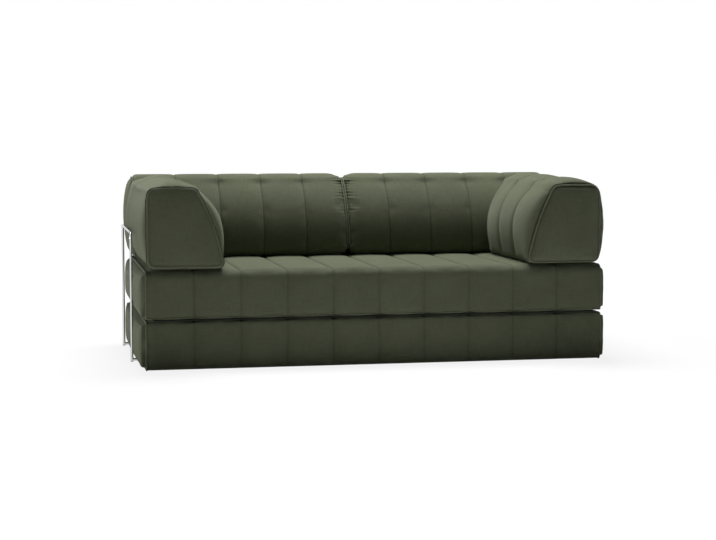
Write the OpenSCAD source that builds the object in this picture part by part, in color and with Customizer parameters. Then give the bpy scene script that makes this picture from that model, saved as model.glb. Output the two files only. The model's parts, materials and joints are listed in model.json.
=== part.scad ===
// Sofa bed: two channelled mattress leaves, loose arm and back cushions, chrome tube gallery.
// The front faces -Y, +X is to the right seen from the front, and so are left and right, +Z is up.
// The origin is the centre of the footprint on the floor. All lengths are millimetres.

/* [Mattress leaves] */
// Distance between two sewn channel seams
channel_pitch = 200; // [160:5:220]
// Number of channels across the bed, split evenly between the two back cushions
channel_count = 10; // [8:2:12]
// Depth of a leaf between its front and rear seam planes
leaf_depth = 970; // [880:10:1060]
// Height of one leaf in the stack
leaf_height = 214; // [180:2:240]
// Height of a channel's crown over its seams
channel_crown = 9; // [4:0.5:12]
// Extra forward bow of a leaf's front face
front_bow = 4; // [0:0.5:8]
// How far a leaf's end panel stands out past its last seam
end_puff = 25; // [15:1:35]
// Radius of a leaf's long edges
leaf_edge_r = 24; // [16:1:36]

/* [Arm cushions] */
// Distance from the outer seam plane to an arm cushion's outer side
arm_outer_inset = 7; // [4:1:20]
// Width of an arm cushion at the seat
arm_base_w = 328; // [280:4:380]
// Width of an arm cushion at its top
arm_top_w = 208; // [160:4:240]
// Height of an arm cushion's end panel
arm_h = 342; // [300:2:380]
// Channels along an arm cushion
arm_channels = 3; // [2:1:4]
// Inward bow of the arm's sitting side
arm_inner_bow = 46; // [20:1:54]
// Outward bow of the arm's outer side
arm_outer_bow = 22; // [10:1:24]
// Upward bow of the arm's top
arm_top_bow = 16; // [8:1:24]

/* [Back cushions] */
// Seat depth in front of the back cushions
seat_depth = 652; // [600:2:700]
// Thickness of a back cushion at its top
back_top_t = 130; // [100:2:180]
// Height of a back cushion's end panel
back_h = 360; // [320:2:400]
// Forward bow of the back cushion's sitting side
back_front_bow = 35; // [15:1:45]
// Distance from a leaf's rear seam plane to the back cushion's
back_inset = 10; // [5:1:30]
// Distance from a leaf's end to a back cushion's outer end
back_end_inset = 15; // [12:1:40]
// Radius of a back cushion's rounded shoulders
shoulder_r = 40; // [20:1:50]

/* [Covers and cores] */
// Thickness of the quilted wadding over a foam core
wadding_t = 28; // [24:1:40]
// Depth of a piped edge
piping_t = 6; // [4:0.5:8]
// Thickness of the non-slip cloth under the lower leaf
base_cloth_t = 2.5; // [1.5:0.5:4]
// Thickness of one hinge cloth
hinge_t = 1.3; // [1:0.1:2]
// How far a hinge cloth reaches back between the leaves
hinge_reach = 42; // [30:1:60]

/* [Tube gallery] */
// Outer diameter of the chrome tube
tube_d = 12; // [10:1:16]
// Wall of the chrome tube
tube_wall = 1.2; // [0.8:0.1:1.6]
// Height of the rail's centre line
rail_h = 567; // [520:1:640]
// Front leg's distance behind the front seam plane
front_leg_y = 320; // [260:5:400]
// Centre line radius of the bend over a front leg
leg_bend_r = 25; // [20:1:40]
// Centre line radius of the rail's rear corners
corner_bend_r = 120; // [115:1:130]
// Clear space between a leaf's end and the side tubes
side_gap = 11; // [8:0.5:20]
// Clear space between a leaf's rear crown and the rear rail
rear_gap = 15; // [12:1:25]
// Distance of each rear post from the middle
rear_post_x = 480; // [300:10:600]
// Height of a floor glide under a tube
glide_t = 3; // [2:0.5:5]

/* [Zips] */
// Width of a zip's tape
zip_tape_w = 26; // [20:1:30]
// Width of a zip's chain
zip_chain_w = 6; // [4:0.5:8]
// Depth of the recess that holds a zip
zip_recess = 8; // [7:0.5:12]

/* [Hidden] */
$fn = 48;

// Clearances and overruns
soft_gap = 0.3;
cut_over = 30;
groove_gap = 0.3;
sleeve_gap = 0.05;
zip_gap = 0.3;

// Colours
cloth_colour = [0.25, 0.27, 0.19];
foam_colour = [0.85, 0.8, 0.62];
dark_colour = [0.08, 0.08, 0.08];
chrome_colour = [0.8, 0.81, 0.83];

// Places shared by several pieces
seam_half_w = channel_pitch * channel_count / 2;
leaf_half_w = seam_half_w + end_puff;
tube_r = tube_d / 2;
side_tube_x = leaf_half_w + side_gap + tube_r;
rail_y = leaf_depth + channel_crown + rear_gap + tube_r;
rear_leg_y = rail_y - corner_bend_r;
front_face_y = -(front_bow + channel_crown);
fold_y = front_face_y - soft_gap;
origin_y = (fold_y + rail_y + tube_r) / 2;
seat_z = 2 * leaf_height;
lower_top_z = leaf_height - soft_gap / 2;
upper_bottom_z = leaf_height + soft_gap / 2;
cushion_z = seat_z + soft_gap;
stretcher_z = glide_t + tube_r;
groove_w = tube_d + 2 * groove_gap;
groove_h = glide_t + tube_d + groove_gap;

// Shares that shape a crown: where a channel's rings stand, and how high each one is
crown_place_shares = [0, 0.12, 0.5, 0.88];
crown_height_shares = [0, 0.66, 1, 0.66];
// Shares that shape a puffed end: how far out each ring stands, and how far it is drawn in
end_place_shares = [0.3, 0.78, 1];
end_inset_shares = [-0.1, 0.2, 0.75];
corner_steps = 3;

// Outlines: each vertex is [u, v, radius], listed anticlockwise, and each edge that follows a
// vertex is [inner points, bow, bow direction u, bow direction v]
function unit(p) = p / norm(p);
function edge_dir(v, i) = let (a = v[i], b = v[(i + 1) % len(v)]) unit([b.x - a.x, b.y - a.y]);
function edge_angle(v, i) = let (d = edge_dir(v, i)) atan2(-d.x, d.y);
function turn(v, i) = let (
    a0 = edge_angle(v, (i + len(v) - 1) % len(v)),
    a1 = edge_angle(v, i)
) (a1 - a0 + 360) % 360;
function cut_back(v, i) = v[i][2] * tan(turn(v, i) / 2);
function arc_centre(v, i) = let (
    d = edge_dir(v, i),
    t = [v[i].x, v[i].y] + d * cut_back(v, i)
) t + [-d.y, d.x] * v[i][2];
function corner_points(v, i) = let (
    a0 = edge_angle(v, (i + len(v) - 1) % len(v)),
    c = arc_centre(v, i)
) [
    for (k = [0 : corner_steps])
        let (a = a0 + turn(v, i) * k / corner_steps)
            [c.x + v[i][2] * cos(a), c.y + v[i][2] * sin(a), cos(a), sin(a), 0, 0]
];
function edge_points(v, e, i) = let (
    j = (i + 1) % len(v),
    d = edge_dir(v, i),
    a = edge_angle(v, i),
    p0 = [v[i].x, v[i].y] + d * cut_back(v, i),
    p1 = [v[j].x, v[j].y] - d * cut_back(v, j),
    n = e[i][0]
) n == 0 ? [] : [
    for (k = [1 : n])
        let (t = k / (n + 1), p = p0 + (p1 - p0) * t, w = 4 * t * (1 - t) * e[i][1])
            [p.x, p.y, cos(a), sin(a), w * e[i][2], w * e[i][3]]
];
function outline(v, e) = [
    for (i = [0 : len(v) - 1]) each concat(corner_points(v, i), edge_points(v, e, i))
];

// One ring of a soft solid: the outline moved out by a crown or in by an inset, and bowed by a share.
// A flat underside isn't moved out where its outward direction points down.
function moved(out, nv, flat) = flat && nv < 0 && out > 0 ? out * (1 + nv) : out;
function ring(o, crown, inset, bow_share, flat) = [
    for (p = o)
        let (m = moved(crown - inset, p[3], flat))
            [p[0] + p[2] * m + p[4] * bow_share, p[1] + p[3] * m + p[5] * bow_share]
];

// Stations along a channelled solid: [place, crown, inset, bow share]
function channel_stations(start, pitch, count, crown) = [
    for (c = [0 : count - 1], k = [0 : len(crown_place_shares) - 1])
        [start + pitch * (c + crown_place_shares[k]), crown * crown_height_shares[k], 0, 1]
];
function end_stations(at, puff, edge_r, side) = [
    for (k = [0 : len(end_place_shares) - 1])
        [at + side * puff * end_place_shares[k], 0, edge_r * end_inset_shares[k],
         1 - end_place_shares[k] / 2]
];
function reversed(list) = [for (i = [len(list) - 1 : -1 : 0]) list[i]];
function mean(points) = [for (i = points) 1] * points / len(points);

// A closed solid through rings of equal length, capped by a fan at each end
module skin(rings) {
    n = len(rings[0]);
    last = len(rings) - 1;
    points = concat([for (r = rings) each r], [mean(rings[0]), mean(rings[last])]);
    centre = n * len(rings);
    walls = [
        for (i = [0 : last - 1], j = [0 : n - 1])
            let (a = i * n + j, b = i * n + (j + 1) % n)
                each [[a, b + n, b], [a, a + n, b + n]]
    ];
    first_cap = [for (j = [0 : n - 1]) [centre, j, (j + 1) % n]];
    last_cap = [for (j = [0 : n - 1]) [centre + 1, last * n + (j + 1) % n, last * n + j]];
    polyhedron(points = points, faces = concat(walls, first_cap, last_cap));
}

// Every sub-part is drawn from the front seam plane, then moved to the origin of the footprint
module placed() {
    translate([0, -origin_y, 0]) children();
}

// A block between two corners
module block(low, high) {
    translate(low) cube(high - low);
}

// Mattress leaves
leaf_stations = concat(
    reversed(end_stations(-seam_half_w, end_puff, leaf_edge_r, -1)),
    channel_stations(-seam_half_w, channel_pitch, channel_count, channel_crown),
    [[seam_half_w, 0, 0, 1]],
    end_stations(seam_half_w, end_puff, leaf_edge_r, 1)
);

function leaf_outline(low_z, high_z) = outline(
    [
        [0, low_z, leaf_edge_r],
        [leaf_depth, low_z, leaf_edge_r],
        [leaf_depth, high_z, leaf_edge_r],
        [0, high_z, leaf_edge_r]
    ],
    [[1, 0, 0, -1], [1, 0, 1, 0], [2, 0, 0, 1], [1, front_bow, -1, 0]]
);

module leaf_skin(low_z, high_z, flat) {
    o = leaf_outline(low_z, high_z);
    skin([for (s = leaf_stations) [for (q = ring(o, s[1], s[2], s[3], flat)) [s[0], q[0], q[1]]]]);
}

module leaf_block(low_z, high_z) {
    block(
        [-seam_half_w + wadding_t, wadding_t, low_z + wadding_t],
        [seam_half_w - wadding_t, leaf_depth - wadding_t, high_z - wadding_t]
    );
}

lower_low_z = base_cloth_t;
lower_high_z = lower_top_z - channel_crown;
upper_low_z = upper_bottom_z + channel_crown;
upper_high_z = seat_z - channel_crown;

// Half the length of a leaf's rear zip, and the height of its middle over the leaf's underside
leaf_zip_share = 0.9;
leaf_zip_half = seam_half_w * leaf_zip_share;
leaf_zip_rise = leaf_height / 2;
zip_edge = zip_recess / 4;

module leaf_zip_recess(under_z) {
    z = under_z + leaf_zip_rise;
    half = zip_tape_w / 2 + zip_edge;
    block(
        [-leaf_zip_half - zip_edge, leaf_depth - zip_recess, z - half],
        [leaf_zip_half + zip_edge, leaf_depth + cut_over, z + half]
    );
}

module stretcher_groove(y) {
    block(
        [-leaf_half_w - cut_over, y - groove_w / 2, -cut_over],
        [leaf_half_w + cut_over, y + groove_w / 2, groove_h]
    );
}

module post_groove(side) {
    block(
        [side * rear_post_x - groove_w / 2, rear_leg_y, -cut_over],
        [side * rear_post_x + groove_w / 2, leaf_depth + cut_over, groove_h]
    );
}

module frame_grooves() {
    stretcher_groove(front_leg_y);
    stretcher_groove(rear_leg_y);
    post_groove(-1);
    post_groove(1);
}

module hinge_recess(low_z, high_z) {
    block(
        [-leaf_half_w - cut_over, fold_y - cut_over, low_z],
        [leaf_half_w + cut_over, hinge_reach + soft_gap, high_z]
    );
}

module lower_cover() {
    color(cloth_colour) placed() difference() {
        leaf_skin(lower_low_z, lower_high_z, true);
        leaf_block(lower_low_z, lower_high_z);
        leaf_zip_recess(0);
        frame_grooves();
        hinge_recess(lower_top_z - hinge_t, lower_top_z + cut_over);
    }
}

module lower_core() {
    color(foam_colour) placed() leaf_block(lower_low_z, lower_high_z);
}

module upper_cover() {
    color(cloth_colour) placed() difference() {
        leaf_skin(upper_low_z, upper_high_z, false);
        leaf_block(upper_low_z, upper_high_z);
        leaf_zip_recess(leaf_height);
        hinge_recess(upper_bottom_z - cut_over, upper_bottom_z + hinge_t);
    }
}

module upper_core() {
    color(foam_colour) placed() leaf_block(upper_low_z, upper_high_z);
}

// The non-slip cloth lies under the lower leaf, clear of its rounded edges and of the tubes
module base_cloth() {
    color(dark_colour) placed() difference() {
        block(
            [-seam_half_w, leaf_edge_r, 0],
            [seam_half_w, leaf_depth - leaf_edge_r, base_cloth_t]
        );
        frame_grooves();
    }
}

// Two cloths sewn together along the fold line, one on each leaf
module hinge_cloth(low_z) {
    block(
        [-seam_half_w + leaf_edge_r, fold_y, low_z],
        [seam_half_w - leaf_edge_r, hinge_reach, low_z + hinge_t]
    );
}

module hinge_cloth_lower() {
    color(cloth_colour) placed() hinge_cloth(lower_top_z - hinge_t);
}

module hinge_cloth_upper() {
    color(cloth_colour) placed() hinge_cloth(upper_bottom_z);
}

// Back cushions, drawn on the right: the outline in Y and Z is carried along X
back_rear_y = leaf_depth - back_inset;
back_top_y = back_rear_y - back_top_t;
back_low_x = soft_gap / 2;
back_high_x = leaf_half_w - back_end_inset;
back_rear_bow = channel_crown / 2;
back_top_bow = channel_crown;
back_radius_shares = [1, 1, 1.4, 1.5];
back_outline = outline(
    [
        [seat_depth, cushion_z, shoulder_r * back_radius_shares[0]],
        [back_rear_y, cushion_z, shoulder_r * back_radius_shares[1]],
        [back_rear_y, cushion_z + back_h, shoulder_r * back_radius_shares[2]],
        [back_top_y, cushion_z + back_h, shoulder_r * back_radius_shares[3]]
    ],
    [
        [1, 0, 0, -1],
        [2, back_rear_bow, 1, 0],
        [1, back_top_bow, 0, 1],
        [4, back_front_bow, -1, 0]
    ]
);

// Shares that shape a back cushion's end: places along a channel, insets of the shoulder, crowns, bows
shoulder_place_shares = [0, 0.02, 0.08, 0.24];
shoulder_inset_shares = [0.75, 0.42, 0.14, 0];
shoulder_crown_shares = [0, 0, 0.2, 0.85];
shoulder_bow_shares = [0.55, 0.7, 0.85, 0.95];

function shoulder_stations(at, side) = [
    for (k = [0 : len(shoulder_place_shares) - 1]) [
        at + side * channel_pitch * shoulder_place_shares[k],
        channel_crown * shoulder_crown_shares[k],
        shoulder_r * shoulder_inset_shares[k],
        shoulder_bow_shares[k]
    ]
];

// Rings of one whole channel from the crown on, and of one up to the crown
function channel_part(start, ks) = [
    for (k = ks)
        [start + channel_pitch * crown_place_shares[k], channel_crown * crown_height_shares[k], 0, 1]
];

back_channels = channel_count / 2;
back_stations = concat(
    shoulder_stations(back_low_x + piping_t, 1),
    channel_part(0, [2, 3]),
    channel_stations(channel_pitch, channel_pitch, back_channels - 2, channel_crown),
    channel_part(channel_pitch * (back_channels - 1), [0, 1, 2]),
    reversed(shoulder_stations(back_high_x - piping_t, -1))
);

module back_skin() {
    skin([
        for (s = back_stations)
            [for (q = ring(back_outline, s[1], s[2], s[3], true)) [s[0], q[0], q[1]]]
    ]);
}

module back_block() {
    lean = wadding_t * (1 + (back_top_y - seat_depth) / back_h);
    rotate([90, 0, 90]) translate([0, 0, back_low_x + 2 * wadding_t])
        linear_extrude(back_high_x - back_low_x - 4 * wadding_t) polygon([
            [seat_depth + lean, cushion_z + wadding_t],
            [back_rear_y - wadding_t, cushion_z + wadding_t],
            [back_rear_y - wadding_t, cushion_z + back_h - wadding_t],
            [back_top_y + wadding_t, cushion_z + back_h - wadding_t]
        ]);
}

// A zip's tape and chain lie along +X on a recess floor, facing +Z
zip_tape_t = 0.8;
zip_chain_t = 1.4;
slider_len_share = 1.6;
slider_t = 2.4;
pull_t = 1.2;
slider_w = zip_chain_w * 1.5;
slider_len = zip_chain_w * slider_len_share;
pull_len = 3 * slider_len;

module zip_strip(length) {
    block([0, -zip_tape_w / 2, 0], [length, zip_tape_w / 2, zip_tape_t]);
    block([0, -zip_chain_w / 2, zip_tape_t], [length, zip_chain_w / 2, zip_tape_t + zip_chain_t]);
}

module zip_slider() {
    translate([slider_len, 0, zip_tape_t + zip_chain_t + zip_gap]) {
        linear_extrude(slider_t) polygon([
            [0, -slider_w / 2],
            [slider_len, -slider_w / 3],
            [slider_len, slider_w / 3],
            [0, slider_w / 2]
        ]);
        translate([slider_len / 2, 0, slider_t]) linear_extrude(pull_t) difference() {
            union() {
                translate([0, -slider_w / 4]) square([pull_len, slider_w / 2]);
                translate([pull_len, 0]) circle(slider_w / 2);
            }
            translate([pull_len, 0]) circle(slider_w / 4);
        }
    }
}

module on_leaf_rear(under_z) {
    translate([-leaf_zip_half, leaf_depth - zip_recess, under_z + leaf_zip_rise])
        rotate([-90, 0, 0]) children();
}

module lower_zip() {
    color(dark_colour) placed() on_leaf_rear(0) zip_strip(2 * leaf_zip_half);
}

module lower_zip_slider() {
    color(chrome_colour) placed() on_leaf_rear(0) zip_slider();
}

module upper_zip() {
    color(dark_colour) placed() on_leaf_rear(leaf_height) zip_strip(2 * leaf_zip_half);
}

module upper_zip_slider() {
    color(chrome_colour) placed() on_leaf_rear(leaf_height) zip_slider();
}

// A back cushion's zip runs along the middle of its underside
back_zip_low_share = 0.14;
back_zip_high_share = 0.86;
back_zip_x = back_high_x * back_zip_low_share;
back_zip_len = back_high_x * (back_zip_high_share - back_zip_low_share);
back_zip_y = (seat_depth + back_rear_y) / 2;

module zip_pocket(length) {
    block(
        [-zip_edge, -zip_tape_w / 2 - zip_edge, 0],
        [length + zip_edge, zip_tape_w / 2 + zip_edge, zip_recess + cut_over]
    );
}

module under_back() {
    translate([back_zip_x, back_zip_y, cushion_z + zip_recess]) rotate([180, 0, 0]) children();
}

module back_cover() {
    color(cloth_colour) placed() difference() {
        back_skin();
        back_block();
        under_back() zip_pocket(back_zip_len);
    }
}

module back_core() {
    color(foam_colour) placed() back_block();
}

// A piped edge: a band that follows an end panel's outline
module band(points, inner_points, depth) {
    linear_extrude(depth) difference() {
        polygon(points);
        polygon(inner_points);
    }
}

back_panel_inset = shoulder_r * shoulder_inset_shares[0];
back_panel_bow = shoulder_bow_shares[0];

module back_band() {
    band(
        ring(back_outline, 0, back_panel_inset, back_panel_bow, true),
        ring(back_outline, 0, back_panel_inset + piping_t, back_panel_bow, true),
        piping_t
    );
}

module back_piping() {
    color(cloth_colour) placed() rotate([90, 0, 90]) {
        translate([0, 0, back_low_x]) back_band();
        translate([0, 0, back_high_x - piping_t]) back_band();
    }
}

module back_zip() {
    color(dark_colour) placed() under_back() zip_strip(back_zip_len);
}

module back_slider() {
    color(chrome_colour) placed() under_back() zip_slider();
}

module left_side() {
    mirror([1, 0, 0]) children();
}

module back_left_cover() { left_side() back_cover(); }
module back_left_core() { left_side() back_core(); }
module back_left_piping() { left_side() back_piping(); }
module back_left_zip() { left_side() back_zip(); }
module back_left_zip_slider() { left_side() back_slider(); }
module back_right_cover() { back_cover(); }
module back_right_core() { back_core(); }
module back_right_piping() { back_piping(); }
module back_right_zip() { back_zip(); }
module back_right_zip_slider() { back_slider(); }

// Arm cushions, drawn on the right: the outline in X and Z is carried along Y, and the rear end
// leans with the back cushion that it meets
arm_outer_x = seam_half_w - arm_outer_inset;
arm_radius_shares = [0.6, 0.85, 1.15, 1.15];
arm_outline = outline(
    [
        [arm_outer_x - arm_base_w, cushion_z, shoulder_r * arm_radius_shares[0]],
        [arm_outer_x, cushion_z, shoulder_r * arm_radius_shares[1]],
        [arm_outer_x, cushion_z + arm_h, shoulder_r * arm_radius_shares[2]],
        [arm_outer_x - arm_top_w, cushion_z + arm_h, shoulder_r * arm_radius_shares[3]]
    ],
    [
        [1, 0, 0, -1],
        [3, arm_outer_bow, 1, 0],
        [2, arm_top_bow, 0, 1],
        [4, arm_inner_bow, -1, 0]
    ]
);

back_lean = back_top_y - seat_depth;
crown_forward = channel_crown * norm([back_lean, back_h]) / back_h;
rear_sag_share = 0.05;
function back_face_y(z) = let (t = max(0, min(1, (z - cushion_z) / back_h)))
    seat_depth + back_lean * t - (4 * t * (1 - t) + rear_sag_share) * back_front_bow;
function arm_end_y(z) = back_face_y(z) - crown_forward - soft_gap;

// Shares that shape an arm cushion's front: places along a channel, crowns and bows
arm_front_place_shares = [0, 0.06, 0.2, 0.5, 0.88];
arm_front_crown_shares = [0, 0.5, 0.85, 1, 0.66];
arm_front_bow_shares = [0, 0.3, 0.62, 0.9, 1];
arm_panel_inset = piping_t / 2;
arm_rear_puff = end_puff / 2;

// Stations along an arm: [share of its length, offset behind that, crown, inset, bow share]
arm_stations = concat(
    [
        for (k = [0 : len(arm_front_place_shares) - 1]) [
            arm_front_place_shares[k] / arm_channels,
            0,
            channel_crown * arm_front_crown_shares[k],
            k == 0 ? arm_panel_inset : 0,
            arm_front_bow_shares[k]
        ]
    ],
    [
        for (c = [1 : arm_channels - 1], k = [0 : len(crown_place_shares) - 1]) [
            (c + crown_place_shares[k]) / arm_channels,
            0,
            channel_crown * crown_height_shares[k],
            0,
            1
        ]
    ],
    [[1, 0, 0, 0, 1]],
    [
        for (k = [0 : len(end_place_shares) - 1])
            [1, arm_rear_puff * end_place_shares[k], 0, leaf_edge_r * end_inset_shares[k], 1]
    ]
);

// The hollow rear end that takes the back cushion's bow: shares of the rim that its rings keep
arm_cap_shares = [0.7, 0.4, 0.12];

function arm_point(q, share, offset) = [
    q[0], share * (arm_end_y(q[1]) - arm_rear_puff) + offset, q[1]
];
function arm_ring(s) = ring(arm_outline, s[2], s[3], s[4], true);

module arm_skin() {
    rim = arm_ring(arm_stations[len(arm_stations) - 1]);
    middle = mean(rim);
    walls = [for (s = arm_stations) [for (q = arm_ring(s)) arm_point(q, s[0], s[1])]];
    hollow = [
        for (k = arm_cap_shares)
            [for (q = rim) arm_point(middle + (q - middle) * k, 1, arm_rear_puff)]
    ];
    skin(reversed(concat(walls, hollow)));
}

module arm_block() {
    lean = wadding_t * (1 + (arm_base_w - arm_top_w) / arm_h);
    length = arm_end_y(cushion_z) - arm_rear_puff - 2 * wadding_t;
    translate([0, length + wadding_t, 0]) rotate([90, 0, 0]) linear_extrude(length) polygon([
        [arm_outer_x - arm_base_w + lean, cushion_z + wadding_t],
        [arm_outer_x - wadding_t, cushion_z + wadding_t],
        [arm_outer_x - wadding_t, cushion_z + arm_h - wadding_t],
        [arm_outer_x - arm_top_w + wadding_t, cushion_z + arm_h - wadding_t]
    ]);
}

// An arm cushion's zip runs front to back along the middle of its underside
arm_zip_low_share = 0.15;
arm_zip_high_share = 0.85;
arm_zip_y = seat_depth * arm_zip_low_share;
arm_zip_len = seat_depth * (arm_zip_high_share - arm_zip_low_share);

module under_arm() {
    translate([arm_outer_x - arm_base_w / 2, arm_zip_y, cushion_z + zip_recess])
        rotate([180, 0, 90]) children();
}

module arm_cover() {
    color(cloth_colour) placed() difference() {
        arm_skin();
        arm_block();
        under_arm() zip_pocket(arm_zip_len);
    }
}

module arm_core() {
    color(foam_colour) placed() arm_block();
}

module arm_piping() {
    color(cloth_colour) placed() rotate([90, 0, 0]) band(
        ring(arm_outline, 0, arm_panel_inset, 0, true),
        ring(arm_outline, 0, arm_panel_inset + piping_t, 0, true),
        piping_t
    );
}

module arm_zip() {
    color(dark_colour) placed() under_arm() zip_strip(arm_zip_len);
}

module arm_slider() {
    color(chrome_colour) placed() under_arm() zip_slider();
}

module arm_left_cover() { left_side() arm_cover(); }
module arm_left_core() { left_side() arm_core(); }
module arm_left_piping() { left_side() arm_piping(); }
module arm_left_zip() { left_side() arm_zip(); }
module arm_left_zip_slider() { left_side() arm_slider(); }
module arm_right_cover() { arm_cover(); }
module arm_right_core() { arm_core(); }
module arm_right_piping() { arm_piping(); }
module arm_right_zip() { arm_zip(); }
module arm_right_zip_slider() { arm_slider(); }

// Tube gallery: bent chrome tubes with welded, coped joints
bore_r = tube_r - tube_wall;
weld_depth = tube_r / 2;

module quarter_bend(bend_r, r) {
    rotate_extrude(angle = 90) translate([bend_r, 0]) circle(r);
}

// Along +Y from a point
module run_back(from, length, r) {
    translate(from) rotate([-90, 0, 0]) cylinder(h = length, r = r);
}

// Along +X from a point
module run_across(from, length, r) {
    translate(from) rotate([0, 90, 0]) cylinder(h = length, r = r);
}

// The right half of the rail: front leg, side bar, rear corner and half of the rear bar
module rail_path(r) {
    translate([side_tube_x, front_leg_y, glide_t])
        cylinder(h = rail_h - leg_bend_r - glide_t, r = r);
    translate([side_tube_x, front_leg_y + leg_bend_r, rail_h - leg_bend_r])
        rotate([90, 0, 90]) rotate([0, 0, 90]) quarter_bend(leg_bend_r, r);
    run_back(
        [side_tube_x, front_leg_y + leg_bend_r, rail_h],
        rear_leg_y - front_leg_y - leg_bend_r,
        r
    );
    translate([side_tube_x - corner_bend_r, rear_leg_y, rail_h]) quarter_bend(corner_bend_r, r);
    run_across([0, rail_y, rail_h], side_tube_x - corner_bend_r, r);
}

// The rail's halves meet over an inner sleeve that a screw holds on each side
joiner_len = 10 * tube_d;
joiner_r = bore_r - sleeve_gap;
screw_x = joiner_len / 4;
screw_r = 2;
screw_head_r = 3.6;
screw_head_t = 2.2;
screw_len = tube_d;

module screw_hole(r) {
    translate([screw_x, rail_y, rail_h - tube_r - screw_head_t])
        cylinder(h = screw_head_t + screw_len, r = r);
}

module rail_half() {
    color(chrome_colour) placed() difference() {
        rail_path(tube_r);
        rail_path(bore_r);
        screw_hole(screw_r + sleeve_gap);
    }
}

module rail_left() { left_side() rail_half(); }
module rail_right() { rail_half(); }

module rail_joiner() {
    color(chrome_colour) placed() difference() {
        run_across([-joiner_len / 2, rail_y, rail_h], joiner_len, joiner_r);
        screw_hole(screw_r);
        left_side() screw_hole(screw_r);
    }
}

module joiner_screw() {
    translate([screw_x, rail_y, rail_h - tube_r - screw_head_t]) {
        cylinder(h = screw_head_t, r = screw_head_r);
        cylinder(h = screw_head_t + screw_len - tube_wall, r = screw_r);
    }
}

module joiner_screws() {
    color(dark_colour) placed() {
        joiner_screw();
        left_side() joiner_screw();
    }
}

module rear_leg() {
    color(chrome_colour) placed() difference() {
        translate([side_tube_x, rear_leg_y, glide_t])
            cylinder(h = rail_h - weld_depth - glide_t, r = tube_r);
        translate([side_tube_x, rear_leg_y, 0]) cylinder(h = rail_h, r = bore_r);
        rail_path(tube_r);
    }
}

module rear_leg_left() { left_side() rear_leg(); }
module rear_leg_right() { rear_leg(); }

// A stretcher runs under the lower leaf from leg to leg
module stretcher(y) {
    difference() {
        run_across([-side_tube_x + weld_depth, y, stretcher_z], 2 * (side_tube_x - weld_depth), tube_r);
        run_across([-side_tube_x, y, stretcher_z], 2 * side_tube_x, bore_r);
        translate([side_tube_x, y, 0]) cylinder(h = 2 * stretcher_z, r = tube_r);
        translate([-side_tube_x, y, 0]) cylinder(h = 2 * stretcher_z, r = tube_r);
    }
}

module front_stretcher() {
    color(chrome_colour) placed() stretcher(front_leg_y);
}

module rear_stretcher() {
    color(chrome_colour) placed() stretcher(rear_leg_y);
}

// A rear post comes down from the rail and turns under the leaf to meet the rear stretcher
module post_path(r) {
    translate([rear_post_x, rail_y, stretcher_z + leg_bend_r])
        cylinder(h = rail_h - stretcher_z - leg_bend_r - weld_depth, r = r);
    translate([rear_post_x, rail_y - leg_bend_r, stretcher_z + leg_bend_r])
        rotate([90, 0, 90]) rotate([0, 0, -90]) quarter_bend(leg_bend_r, r);
    run_back(
        [rear_post_x, rear_leg_y + weld_depth, stretcher_z],
        rail_y - leg_bend_r - rear_leg_y - weld_depth,
        r
    );
}

module rear_post() {
    color(chrome_colour) placed() difference() {
        post_path(tube_r);
        post_path(bore_r);
        run_across([rear_post_x - cut_over, rail_y, rail_h], 2 * cut_over, tube_r);
        run_across([rear_post_x - cut_over, rear_leg_y, stretcher_z], 2 * cut_over, tube_r);
    }
}

module rear_post_left() { left_side() rear_post(); }
module rear_post_right() { rear_post(); }

// Floor glides: a plug in each leg, and a pad under each rear post's foot
glide_plug_h = 3 * glide_t;

module leg_glide(y) {
    translate([side_tube_x, y, 0]) {
        cylinder(h = glide_t, r = tube_r);
        cylinder(h = glide_plug_h, r = bore_r - sleeve_gap);
    }
}

module post_glide() {
    translate([rear_post_x, rail_y - leg_bend_r - tube_r, 0]) cylinder(h = glide_t, r = tube_r);
}

module glide_side() {
    leg_glide(front_leg_y);
    leg_glide(rear_leg_y);
    post_glide();
}

module glides() {
    color(dark_colour) placed() {
        glide_side();
        left_side() glide_side();
    }
}

lower_cover();
lower_core();
base_cloth();
lower_zip();
lower_zip_slider();
hinge_cloth_lower();
rail_left();
rail_right();
rail_joiner();
joiner_screws();
rear_leg_left();
rear_leg_right();
rear_post_left();
rear_post_right();
front_stretcher();
rear_stretcher();
glides();
upper_cover();
upper_core();
upper_zip();
upper_zip_slider();
hinge_cloth_upper();
arm_left_cover();
arm_left_core();
arm_left_piping();
arm_left_zip();
arm_left_zip_slider();
arm_right_cover();
arm_right_core();
arm_right_piping();
arm_right_zip();
arm_right_zip_slider();
back_left_cover();
back_left_core();
back_left_piping();
back_left_zip();
back_left_zip_slider();
back_right_cover();
back_right_core();
back_right_piping();
back_right_zip();
back_right_zip_slider();
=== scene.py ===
# Sofa bed: the looks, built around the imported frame. Metres, the front faces -Y, +Z is up.
import json
import math
from collections import namedtuple

import bmesh
import bpy
import numpy as np
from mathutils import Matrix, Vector, kdtree, noise


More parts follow.
